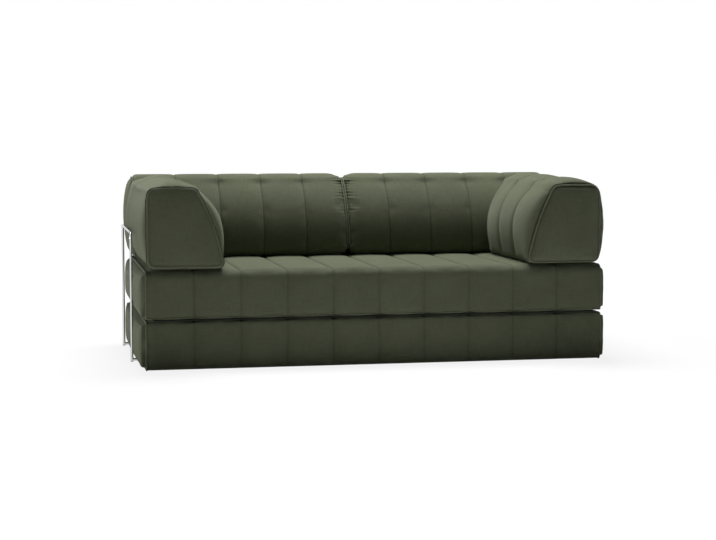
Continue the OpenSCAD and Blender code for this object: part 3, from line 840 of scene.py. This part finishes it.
CLOTH = cloth_material("olive_cloth", OLIVE_DARK, OLIVE_LIGHT, True)
# The welts' cloth, painted lighter as a highlight
WELT_CLOTH_PAINTED_LIT = cloth_material("welt_cloth_painted_lit", WELT_PAINTED_LIT_DARK, WELT_PAINTED_LIT_LIGHT, False)
CHROME = chrome_material()
NICKEL = plain_material(
    "nickel", (0.25, 0.25, 0.26, 1), (0.42, 0.42, 0.43, 1), 0.3, (200, 200, 200), 1.0)
SCREW_STEEL = plain_material(
    "screw_steel", (0.3, 0.3, 0.31, 1), (0.45, 0.45, 0.46, 1), 0.35, (300, 300, 300), 1.0)
TAPE = plain_material(
    "zip_tape", (0.03, 0.034, 0.022, 1), (0.06, 0.066, 0.045, 1), 0.9, (900, 900, 900))
WEBBING = plain_material(
    "hinge_webbing", (0.01, 0.011, 0.007, 1), (0.025, 0.027, 0.018, 1), 0.9, (40, 900, 900))
GLIDE = plain_material(
    "glide_plastic", (0.015, 0.015, 0.015, 1), (0.03, 0.03, 0.03, 1), 0.55, (400, 400, 400))
BASE = plain_material(
    "base_cloth", (0.012, 0.012, 0.012, 1), (0.03, 0.03, 0.03, 1), 0.85, (500, 500, 500))


# The mattress leaves

FRONT_SEAM_DEPTH = 0.0014
SEAT_SEAM_EXTRA = 0.0046
SEAM_DEEPENS_OVER = 0.04
LEAF_SEAM_WIDTH = 0.0042
END_GROOVE_AWAY = 0.0065
END_GROOVE_DEPTH = 0.0042
END_GROOVE_WIDTH = 0.003
LEAF_REAR_BOW = 0.001
LEAF_FRONT_BOW = 0.004
LEAF_PRESSURE = 2.5
LEAF_SHRINK = -0.01
LEAF_HELD = 0.002
FOLD_CLEARANCE = 0.0005
FOLD_ROUNDING = 0.001
END_DOME_POWER = 0.28
FLOOR_DOME_POWER = 0.12


def seam_distance_x(co):
    """Distance to the nearest channel seam across the bed; the end seams are left out"""
    x = np.abs(co[:, 0])
    return np.abs(x - CHANNEL * np.clip(np.round(x / CHANNEL), 0, CHANNELS // 2 - 1))


def channel_groove(co):
    """A leaf's seams are drawn in deeper on its faces than down its front"""
    return FRONT_SEAM_DEPTH + SEAT_SEAM_EXTRA * np.clip((co[:, 1] - FRONT) / SEAM_DEEPENS_OVER, 0, 1)


def end_groove(co):
    """Distance to the groove round a leaf's end panel"""
    return np.abs(np.abs(co[:, 0]) - SEAM_X - END_GROOVE_AWAY)


def leaf_outline(low, high, low_r, high_r):
    """A leaf's section, from its front bottom corner round by its rear"""
    corners = ((0, low), (LEAF_DEPTH, low), (LEAF_DEPTH, high), (0, high))
    bows = (0.0, LEAF_REAR_BOW, 0.0, LEAF_FRONT_BOW)
    return Outline(corners, (low_r, low_r, high_r, high_r), bows, (48, 12, 48, 12), 2)


def keep_behind_fold(piece):
    """Flattens a leaf's swollen front, so that the two fronts just meet when the bed is open"""
    co = coordinates(piece.data)
    over = FOLD.y + FOLD_CLEARANCE - co[:, 1]
    co[:, 1] += (over + np.sqrt(over ** 2 + FOLD_ROUNDING ** 2)) / 2
    set_coordinates(piece.data, co)


def end_dome(under):
    """A leaf's end panel swells evenly inside its rim, down to the floor where it has one under it"""
    def height(s, t):
        """How far the panel swells at shares of its depth and height"""
        power = under if t < 0.5 else END_DOME_POWER
        return LEAF_DOME * (4 * s * (1 - s)) ** END_DOME_POWER * (4 * t * (1 - t)) ** power
    return height


def make_leaf(name, outline, low, high, flat, body, cuts):
    """One leaf with its welts; flat is for the one that lies on the floor"""
    swelling = end_dome(FLOOR_DOME_POWER if flat else END_DOME_POWER)
    piece = cushion(
        name, outline, leaf_stations(), lambda row, q: Vector((row.at, FRONT + q.x, q.y)),
        lambda row: row.at, Vector((1, 0, 0)), (swelling, swelling), flat)
    swell(
        piece, LEAF_PRESSURE, LEAF_SHRINK,
        lambda co: (co[:, 2] < low + LEAF_HELD) | (co[:, 2] > high - LEAF_HELD))
    refine(piece, 1)
    keep_behind_fold(piece)
    paths = [[Vector((x, y, max(z, LEAF_WELT_R))) for x, y, z in welt_path(piece, *cut)] for cut in cuts]
    tighten(piece, [
        (seam_distance_x, channel_groove, LEAF_SEAM_WIDTH),
        (end_groove, evenly(END_GROOVE_DEPTH), END_GROOVE_WIDTH)])
    welts(name + "_welts", body, paths, LEAF_WELT_R)
    return finish_cushion(piece, body, 0.9, name[:5] + "_cover", name[:5] + "_core")


LOWER_HIGH = LEAF_TOP - CROWN
UPPER_LOW = LEAF_UNDER + CROWN
LEAF_WELT_LIFT = 0.0022
END_WELT_X = SEAM_X + 0.0012
UNDER_WELT_Z = UPPER_LOW + 0.0015
END_CUTS = [((side * END_WELT_X, 0, 0), (1, 0, 0), LEAF_WELT_LIFT) for side in (-1, 1)]
UNDER_CUT = ((0, 0, UNDER_WELT_Z), (0, 0, 1), LEAF_WELT_LIFT)
LOWER_RADII = (0.016, 0.009)
UPPER_RADII = (0.009, 0.03)
LOWER_OUTLINE = leaf_outline(BASE_CLOTH, LOWER_HIGH, *LOWER_RADII)
UPPER_OUTLINE = leaf_outline(UPPER_LOW, SEAT_TOP - CROWN, *UPPER_RADII)
make_leaf("lower_leaf", LOWER_OUTLINE, BASE_CLOTH, LEAF_TOP, True, "base", END_CUTS)
make_leaf("upper_leaf", UPPER_OUTLINE, LEAF_UNDER, SEAT_TOP, False, "upper_leaf", END_CUTS + [UNDER_CUT])


# The back cushions

def back_relief(place, normal):
    """A back cushion's channels nearly run out over its top"""
    return 1 - 0.62 * smooth_step(0.35, 0.9, normal.y)


def back_draw(place, normal):
    """A back cushion's ends are drawn in over the top and under the front, less down the face and behind"""
    over = max(0.0, normal.y) ** 1.5
    under = max(0.0, -normal.y) ** 1.5
    to_front = smooth_step(BACK_REAR - 0.06, SEAT_DEPTH + 0.05, place.x)
    return 0.3 + 0.7 * over + 0.9 * under * to_front - 0.25 * under, 0.5 + 0.5 * over + 1.2 * under


BACK_FOOT_R = 0.04
BACK_REAR_R = 0.056
BACK_REAR_BOW = 0.0045
BACK_OUTLINE = Outline(
    ((SEAT_DEPTH, SEAT), (BACK_REAR, SEAT), (BACK_REAR, SEAT + BACK_H), (BACK_TOP_Y, SEAT + BACK_H)),
    (BACK_FOOT_R, BACK_FOOT_R, BACK_REAR_R, BACK_TOP_R), (0.0, BACK_REAR_BOW, 0.0, BACK_FACE_BOW),
    (16, 20, 16, 20), 3,
    relief=back_relief, draw=back_draw)

GATHER_PITCH = 0.0135
GATHER_DEPTH = 0.0044
GATHER_REACH = 0.034


def back_seam_distance(co):
    """Distance to the nearest channel seam of a back cushion; its end seams are left out"""
    x = np.abs(co[:, 0])
    return np.abs(x - CHANNEL * np.clip(np.round(x / CHANNEL), 1, CHANNELS // 2 - 1))


def gathers(co):
    """Short gathers beside a back cushion's middle end, closest together near its top"""
    from_seam = np.abs(co[:, 0]) - BACK_INNER_SEAM
    height = (co[:, 2] - SEAT) / BACK_H
    strength = 0.25 + 0.75 * np.clip((height - 0.45) / 0.25, 0, 1)
    fade = np.exp(-(np.maximum(from_seam, 0) / GATHER_REACH) ** 1.5)
    side = np.sign(co[:, 0])
    drift = noise_of(co, (9, 9, 30), 3.0) * 1.6 + side * 1.2
    wave = np.cos(2 * np.pi * co[:, 2] / GATHER_PITCH + drift * 2)
    uneven = 0.55 + 0.75 * noise_of(co, (4, 4, 45), 11.0)
    near_end = np.clip(from_seam / 0.004, 0, 1)
    return GATHER_DEPTH * strength * fade * wave * np.clip(uneven, 0.1, 1.2) * near_end


CUSHION_PRESSURE = 3.0
CUSHION_SHRINK = -0.015
SEAM_DEPTH = 0.0028
SEAM_WIDTH = 0.0034
BACK_WELT_R = 0.003
BACK_WELT_IN = 0.0005
RAIL_CLEARANCE = 0.002
RAIL_ROUNDING = 0.0015
RAIL_NEAR = 0.012
OVER_RAIL_SLOPE = 0.4
RIM_DEPTH = 0.0042
RIM_WIDTH = 0.0034
RIM_AWAY = 0.006
FOOT_GAP = 0.011
FOOT_HEIGHT = 0.055


def rim_grooves(path, depth=evenly(RIM_DEPTH)):
    """A seam's allowance lies flat on both sides of its welt, so a groove runs on each"""
    return beside(distance_to(path), RIM_AWAY), depth, RIM_WIDTH


def give_way(piece):
    """Presses a cover in where the rail runs past it; above the rail it may stand over"""
    co = coordinates(piece.data)
    x = np.abs(co[:, 0]) - (RAIL_X - BEND_R)
    y = co[:, 1] - REAR_LEG_Y
    corner = (x > 0) & (y > 0)
    reach = np.maximum(np.hypot(x, y), 1e-6)
    out = np.where(corner, reach, np.maximum(x, y)) - BEND_R
    room = TUBE_R + RAIL_CLEARANCE
    above = np.maximum(co[:, 2] - RAIL_Z, 0)
    beside_rail = -np.sqrt(np.maximum(room ** 2 - above ** 2, 0))
    limit = np.where(above < room, beside_rail, OVER_RAIL_SLOPE * (above - room))
    over = out - limit
    push = (over + np.sqrt(over ** 2 + RAIL_ROUNDING ** 2)) / 2
    push[over < -RAIL_NEAR] = 0
    way_x = np.where(corner, x / reach, x >= y)
    way_y = np.where(corner, y / reach, x < y)
    co[:, 0] -= np.sign(co[:, 0]) * push * way_x
    co[:, 1] -= push * way_y
    set_coordinates(piece.data, co)


def outer_dome(s, t):
    """A back cushion's outer end swells most in the middle and less towards its top"""
    return BACK_OUTER_PUFF * (4 * s * (1 - s)) ** 0.42 * (4 * t * (1 - t)) ** 0.8


def back_hold(co):
    """A back cushion's foot, top and outer end stay as they are cut"""
    return (co[:, 2] < SEAT + 0.01) | (co[:, 2] > SEAT + BACK_H - 0.012) | (np.abs(co[:, 0]) > 0.8)


def make_back(name, side):
    """One back cushion; side is -1 at the left and 1 at the right"""
    def place(row, q):
        """A point of a station, moved away from the middle at the cushion's foot"""
        low = max(0.0, 1 - (q.y - SEAT) / FOOT_HEIGHT) ** 1.6
        foot = FOOT_GAP * low * (1 - smooth_step(0, 0.09, row.at))
        return Vector((side * (row.at + foot), FRONT + q.x, q.y))

    piece = cushion(
        name, BACK_OUTLINE, back_stations(), place,
        lambda row: row.at, Vector((side, 0, 0)), (dome(0.001, 0.7), outer_dome), True)
    swell(piece, CUSHION_PRESSURE, CUSHION_SHRINK, back_hold)
    refine(piece, 2)
    ends = (BACK_INNER_SEAM + BACK_WELT_IN, BACK_OUTER_SEAM - BACK_WELT_IN)
    paths = [welt_path(piece, (side * x, 0, 0), (1, 0, 0), 0.0) for x in ends]
    seams = [(back_seam_distance, evenly(SEAM_DEPTH), SEAM_WIDTH)]
    tighten(piece, seams + [rim_grooves(path) for path in paths])
    crumple(piece, gathers)
    give_way(piece)
    welts(name + "_welts", name, paths, BACK_WELT_R, [name + "_piping"])
    return finish_cushion(piece, name, 0.8, name + "_cover", name + "_core")


make_back("back_left", -1)
make_back("back_right", 1)


# The arm cushions

ARM_INNER = ARM_OUTER - ARM_BASE_W
ARM_TOP_INNER = ARM_OUTER - ARM_TOP_W


def arm_relief(place, normal):
    """An arm's channels show on its inner side and fade out over its top"""
    if normal.y < -0.5:
        return 0.0
    share = min(1.0, max(0.0, (place.x - ARM_TOP_INNER) / ARM_TOP_W))
    return (1 - share) ** 2


def arm_draw(place, normal):
    """An arm's front shoulder swells most over its upper inner corner"""
    upper = smooth_step(SEAT + 0.03, SEAT + 0.26, place.y)
    return ARM_SWELL * upper * (0.45 - 0.55 * normal.x), 1.0


# Round an arm's section from its inner foot: corner radii, side bows and how late the bows set in
ARM_RADII = (0.024, 0.03, 0.04, 0.04)
ARM_BOWS = (0.0, 0.026, 0.016, 0.046)
ARM_LATES = (1, 1.5, 1.6, 1)
ARM_GROOVE_DEPTH = 0.0026
ARM_FOOT_PLAIN = 0.004
PUCKER_HEIGHT = 0.0016
PUCKER_REACH = 0.022
PUCKER_START = 0.002
PUCKER_FOOT = 0.02
PANEL_DOME = 0.016
PANEL_WELT_LIFT = 0.0012
PANEL_WELT_IN = 0.0008
ARM_WRAP_RUN = 0.026
ARM_OUT_FROM = 0.94
ARM_FOOT_HELD = 0.006
ARM_REAR_HELD = 0.06
ARM_OUTLINE = Outline(
    ((ARM_INNER, SEAT), (ARM_OUTER, SEAT), (ARM_OUTER, SEAT + ARM_H), (ARM_TOP_INNER, SEAT + ARM_H)),
    ARM_RADII, ARM_BOWS, (16, 18, 16, 18), 3, lates=ARM_LATES, relief=arm_relief, draw=arm_draw)


def arm_seam_distance(co):
    """Distance to the nearest of an arm's seams, which fan out with its leaning rear end"""
    ends = np.array([arm_end(z) for z in co[:, 2]]) - ARM_REAR_PUFF
    share = (co[:, 1] - FRONT) / ends * ARM_CHANNELS
    near = np.clip(np.round(share), 1, ARM_CHANNELS - 1)
    return np.abs(share - near) * ends / ARM_CHANNELS


def arm_groove(co):
    """An arm's seams are deepest on its inner side and run out over its top"""
    across = np.clip((np.abs(co[:, 0]) - ARM_TOP_INNER) / ARM_TOP_W, 0, 1)
    return ARM_GROOVE_DEPTH * (1 - across) ** 2 * (co[:, 2] > SEAT + ARM_FOOT_PLAIN)


def arm_rim_depth(co):
    """An arm's groove is deep behind its front panel's welt and slight before it"""
    return np.where(co[:, 1] > FRONT + 0.0015, 1.5, 0.4) * RIM_DEPTH


def arm_puckers(co):
    """Small puckers just behind an arm's front panel, along its sewn rim"""
    behind = co[:, 1] - FRONT
    fade = np.exp(-(np.maximum(behind, 0) / PUCKER_REACH) ** 2) * (behind > PUCKER_START)
    ripple = noise_of(co, (70, 12, 70), 5.0)
    return PUCKER_HEIGHT * fade * ripple * (co[:, 2] > SEAT + PUCKER_FOOT)


def make_arm(name, side):
    """One arm cushion; side is -1 at the left and 1 at the right"""
    def place(row, q):
        """A point of a station: the rear end follows the back cushion and swells beside it, the foot rises"""
        round_back = ARM_WRAP * min(1.0, max(0.0, (q.x - BACK_OUTER_SEAM) / ARM_WRAP_RUN)) ** 1.5
        behind = row.at * (arm_end(q.y) + round_back - ARM_REAR_PUFF) + row.extra
        below_top = max(0.0, SEAT + ARM_H - q.y) / ARM_H
        rise = ARM_FOOT_RISE * below_top * (1 - smooth_step(0, ARM_FOOT_RUN, behind))
        rear = smooth_step(0.25, 1.0, row.at)
        out = ARM_REAR_OUT * rear * smooth_step(0.1, 0.5, 1 - below_top)
        out *= smooth_step(ARM_OUT_FROM, ARM_OUTER, q.x)
        rise += ARM_REAR_RISE * rear * smooth_step(0.6, 1.0, 1 - below_top)
        return Vector((side * (q.x + out), FRONT + behind, q.y + rise))

    piece = cushion(
        name, ARM_OUTLINE, arm_stations(), place, lambda row: row.at * SEAT_DEPTH + row.extra,
        Vector((0, 1, 0)), (dome(PANEL_DOME, 0.6), dome(0.0, 1.0)), True)
    rear = FRONT + SEAT_DEPTH - ARM_REAR_HELD
    swell(
        piece, CUSHION_PRESSURE, CUSHION_SHRINK,
        lambda co: (co[:, 2] < SEAT + ARM_FOOT_HELD) | (co[:, 1] > rear))
    refine(piece, 2)
    path = welt_path(piece, (0, FRONT + PANEL_WELT_IN, 0), (0, 1, 0), PANEL_WELT_LIFT)
    tighten(piece, [(arm_seam_distance, arm_groove, SEAM_WIDTH), rim_grooves(path, arm_rim_depth)])
    crumple(piece, arm_puckers)
    welts(name + "_welt", name, [path], WELT_R, [name + "_piping"])
    return finish_cushion(piece, name, 0.85, name + "_cover", name + "_core")


make_arm("arm_left", -1)
make_arm("arm_right", 1)


# The cloths between and under the leaves

WEBBING_T = 0.0009
WEBBING_END_GAP = 0.024
WEBBING_REACH = 0.055
WEBBING_FOLD_R = 0.0009
WEBBING_BEND = Vector((0, 0, 0.0003))
UNDERSIDE_T = 0.0016
UNDERSIDE_MIDDLE = 0.0011
HEM_T = 0.0003
HEM_RUN = (0.02, 0.012)
UNDERSIDE_WAVE = 0.0002


def sheet_of(name, width_steps, length_steps, placed, thickness, material):
    """A thin cloth: a grid whose points placed puts in place, thickened"""
    bm = bmesh.new()
    bmesh.ops.create_grid(bm, x_segments=width_steps, y_segments=length_steps, size=0.5)
    for v in bm.verts:
        v.co = placed(v.co)
    bmesh.ops.recalc_face_normals(bm, faces=bm.faces)
    piece = new_piece(name, bm)
    thick = piece.modifiers.new("Thickness", "SOLIDIFY")
    thick.thickness = thickness
    thick.offset = 0
    apply_modifiers(piece)
    smooth_shaded(piece.data)
    piece.data.materials.append(material)
    return piece


def folded(run):
    """The folded hinge cloth's section: where a point lies, by how far it is past the fold"""
    half_turn = math.pi * WEBBING_FOLD_R / 2
    if abs(run) <= half_turn:
        angle = run / WEBBING_FOLD_R
        return WEBBING_FOLD_R * (1 - math.cos(angle)), WEBBING_FOLD_R * math.sin(angle)
    return WEBBING_FOLD_R + abs(run) - half_turn, math.copysign(WEBBING_FOLD_R, run)


def hinge_webbing():
    """One strong woven cloth, folded at the hinge line and sewn to both leaves"""
    width = 2 * (SEAM_X - WEBBING_END_GAP)

    def placed(co):
        back, up = folded(co.y * 2 * WEBBING_REACH)
        return FOLD + Vector((co.x * width, back, up))

    piece = sheet_of("hinge_webbing", 160, 64, placed, WEBBING_T, WEBBING)
    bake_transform(piece, "base", "upper_leaf", FOLD - WEBBING_BEND, FOLD + WEBBING_BEND)
    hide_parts("hinge_cloth_lower", "hinge_cloth_upper")


def underside_cloth():
    """The non-slip cloth under the lower leaf, hemmed round its edge"""
    low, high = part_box("base_cloth")
    size = high - low
    middle = (low + high) / 2

    def placed(co):
        rim = min(0.5 - abs(co.x), (0.5 - abs(co.y)) * size.y / size.x) * size.x
        hem = HEM_T * smooth_step(*HEM_RUN, rim)
        lie = UNDERSIDE_WAVE * noise.noise(Vector((co.x * 40, co.y * 20, 4.0)))
        height = UNDERSIDE_MIDDLE + hem + lie
        return Vector((middle.x + co.x * size.x, middle.y + co.y * size.y, height))

    piece = sheet_of("underside_cloth", 100, 46, placed, UNDERSIDE_T, BASE)
    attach(piece, "base")
    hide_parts("base_cloth")


hinge_webbing()
underside_cloth()


# The tube gallery's weld beads

BEAD_R = 0.0011
BEAD_POINTS = 40
RIPPLES = 14
RIPPLE_SHARE = 0.03


def saddle(joint, branch, run):
    """The closed line in which one tube meets another of its size. branch leads away along the one, run
    along the other"""
    across = branch.cross(run)
    path = []
    for step in range(BEAD_POINTS):
        angle = math.tau * step / BEAD_POINTS
        along, beside = math.cos(angle), math.sin(angle)
        rise = math.sqrt(along * along + RIPPLE_SHARE) + RIPPLE_SHARE * math.sin(RIPPLES * angle)
        path.append(joint + TUBE_R * (branch * rise + run * along + across * beside))
    return path


X, Y, Z = Vector((1, 0, 0)), Vector((0, 1, 0)), Vector((0, 0, 1))
beads = []
for side in (-1, 1):
    beads.append(saddle(Vector((side * RAIL_X, REAR_LEG_Y, RAIL_Z)), -Z, Y))
    beads.append(saddle(Vector((side * POST_X, RAIL_Y, RAIL_Z)), -Z, X))
    for y in (FRONT_LEG_Y, REAR_LEG_Y):
        beads.append(saddle(Vector((side * RAIL_X, y, STRETCHER_Z)), -side * X, Z))
    beads.append(saddle(Vector((side * POST_X, REAR_LEG_Y, STRETCHER_Z)), Y, X))
ring_cords("weld_beads", "base", beads, BEAD_R, CHROME)


# Zip teeth: two rows on each chain, a tooth's pitch apart

TOOTH_PITCH = 0.0032
TOOTH_SIZE = (0.55 * TOOTH_PITCH, 0.0024, 0.001)
TOOTH_BEVEL_SHARE = 0.2
TOOTH_PROUD = 0.0002
ROW_OFFSET = 0.0013
CHAIN_END = 0.005


def points_in(geometry):
    return [g for g in geometry if isinstance(g, bmesh.types.BMVert)]


def one_tooth(bm):
    """A tooth with bevelled upright edges, about the origin"""
    flat = 0.5 - TOOTH_BEVEL_SHARE
    corners = ((0.5, -flat), (0.5, flat), (flat, 0.5), (-flat, 0.5))
    rim = [*corners, *((-x, -y) for x, y in corners)]
    foot, top = ([bm.verts.new((x, y, z)) for x, y in rim] for z in (-0.5, 0.5))
    bm.faces.new(foot[::-1])
    bm.faces.new(top)
    for i in range(len(rim)):
        bm.faces.new((foot[i - 1], foot[i], top[i], top[i - 1]))
    bmesh.ops.scale(bm, vec=TOOTH_SIZE, verts=bm.verts)
    return bm.verts[:] + bm.edges[:] + bm.faces[:]


def zip_teeth(zip_name, body):
    """Small teeth let into both halves of a zip's chain, just proud of it"""
    low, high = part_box(zip_name)
    size = high - low
    length = max(range(3), key=lambda a: size[a])
    depth = min(range(3), key=lambda a: size[a])
    width = 3 - length - depth
    outward = -1 if depth == 2 else 1
    face = (low if outward < 0 else high)[depth]
    bm = bmesh.new()
    tooth = one_tooth(bm)
    for n in range(int((size[length] - 2 * CHAIN_END) / TOOTH_PITCH)):
        for row in (-1, 1):
            if n or row > 0:
                copy = bmesh.ops.duplicate(bm, geom=tooth)["geom"]
                way = ((n + 0.25 * row) * TOOTH_PITCH, row * ROW_OFFSET, 0)
                bmesh.ops.translate(bm, vec=way, verts=points_in(copy))
    bmesh.ops.translate(bm, vec=(0, -ROW_OFFSET, 0), verts=points_in(tooth))
    start = (low + high) / 2
    start[length] = low[length] + CHAIN_END
    start[depth] = face + outward * (TOOTH_PROUD - TOOTH_SIZE[2] / 2)
    for v in bm.verts:
        x, y, z = v.co
        v.co = start
        v.co[length] += x
        v.co[width] += y
        v.co[depth] += z
    if (width - length) % 3 == 2:
        # This order of axes mirrors the teeth, so their faces are turned back
        bmesh.ops.reverse_faces(bm, faces=bm.faces)
    piece = new_piece(zip_name + "_teeth", bm)
    piece.data.materials.append(NICKEL)
    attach(piece, body)


zip_teeth("lower_zip", "base")
zip_teeth("upper_zip", "upper_leaf")
for cushion_name in ("arm_left", "arm_right", "back_left", "back_right"):
    zip_teeth(cushion_name + "_zip", cushion_name)


# Finishes of the pieces that keep their solids

def dress(material, starts=(), ends=()):
    """Gives the material to the nodes whose names start or end so"""
    for name, node in frame["nodes"].items():
        if name.startswith(tuple(starts)) or name.endswith(tuple(ends)):
            node.data.materials.clear()
            node.data.materials.append(material)


dress(CHROME, starts=["rail_", "rear_leg", "rear_post"], ends=["_stretcher"])
dress(NICKEL, ends=["_zip_slider"])
dress(TAPE, ends=["_zip"])
dress(SCREW_STEEL, starts=["joiner_screws"])
dress(GLIDE, starts=["glides"])


# The stage: pale floor, soft studio light, the photograph's camera

def seen_directly(tree):
    """1 for camera, mirror and glass rays, 0 for the light that reaches the object"""
    path = add(tree, "ShaderNodeLightPath")
    glossy = maths(tree, "MAXIMUM", path.outputs["Is Camera Ray"], path.outputs["Is Glossy Ray"])
    return maths(tree, "MAXIMUM", glossy, path.outputs["Is Transmission Ray"])


FLOOR_LIT = (0.9, 0.9, 0.9, 1.0)
FLOOR_SEEN = (0.15, 0.15, 0.15, 1.0)
FLOOR_GLOW = 0.86
GLOW_NEAR = 1.7
GLOW_FAR = 3.2


def stage_floor():
    """A floor that bounces light well and keeps the object's shadow"""
    bm = bmesh.new()
    bmesh.ops.create_grid(bm, x_segments=1, y_segments=1, size=60)
    floor = new_piece("floor", bm)
    material, tree, shader = nodes_of("pale_floor")
    seen = seen_directly(tree)
    tree.links.new(mixed(tree, seen, FLOOR_LIT, FLOOR_SEEN), shader.inputs["Base Color"])
    shader.inputs["Roughness"].default_value = 1.0
    shader.inputs["Specular IOR Level"].default_value = 0.0
    place = add(tree, "ShaderNodeTexCoord").outputs["Object"]
    away = add(tree, "ShaderNodeVectorMath", operation="LENGTH")
    tree.links.new(place, away.inputs[0])
    glow = ranged(tree, away.outputs["Value"], GLOW_NEAR, GLOW_FAR, FLOOR_GLOW, 1.0)
    shader.inputs["Emission Color"].default_value = (1, 1, 1, 1)
    tree.links.new(maths(tree, "MULTIPLY", seen, glow), shader.inputs["Emission Strength"])
    floor.data.materials.append(material)


WORLD_FILL = 0.015


def stage_world():
    """White where it is seen, dim where it lights the object"""
    world = bpy.data.worlds.new("studio")
    bpy.context.scene.world = world
    world.use_nodes = True
    tree = world.node_tree
    tree.nodes.clear()
    soft = add(tree, "ShaderNodeBackground", Color=(1, 1, 1, 1), Strength=WORLD_FILL)
    white = add(tree, "ShaderNodeBackground", Color=(1, 1, 1, 1), Strength=1.0)
    mix = add(tree, "ShaderNodeMixShader")
    out = add(tree, "ShaderNodeOutputWorld")
    tree.links.new(seen_directly(tree), mix.inputs[0])
    tree.links.new(soft.outputs[0], mix.inputs[1])
    tree.links.new(white.outputs[0], mix.inputs[2])
    tree.links.new(mix.outputs[0], out.inputs[0])


def lamp(name, place, target, size, power, spread=180):
    """A rectangular lamp, its power in watts and its spread in degrees"""
    data = bpy.data.lights.new(name, "AREA")
    data.spread = math.radians(spread)
    data.shape = "RECTANGLE"
    data.size, data.size_y = size
    data.energy = power
    light = bpy.data.objects.new(name, data)
    light.location = place
    light.rotation_mode = "QUATERNION"
    light.rotation_quaternion = (Vector(target) - Vector(place)).to_track_quat("-Z", "Y")
    bpy.context.scene.collection.objects.link(light)


def stage_camera():
    """The camera that the photograph was taken with"""
    data = bpy.data.cameras.new("camera")
    data.sensor_width = SENSOR
    data.lens = CAMERA_LENS
    camera = bpy.data.objects.new("camera", data)
    camera.location = CAMERA_PLACE
    camera.rotation_euler = (math.pi / 2 - CAMERA_PITCH, 0, -CAMERA_YAW)
    data.clip_end = 200
    bpy.context.scene.collection.objects.link(camera)
    bpy.context.scene.camera = camera


stage_camera()
stage_floor()
stage_world()
lamp("overhead", (0.0, 1.1, 5.0), (0, 0.1, 0.3), (2.6, 2.2), 290)
lamp("left", (-5.5, 0.3, 0.82), (0, 0, 0.5), (1.5, 0.8), 68)
lamp("front_floor", (0.0, -1.7, 2.4), (0, -1.7, 0), (3.2, 0.8), 7, spread=46)
bpy.context.scene.view_settings.view_transform = "Standard"
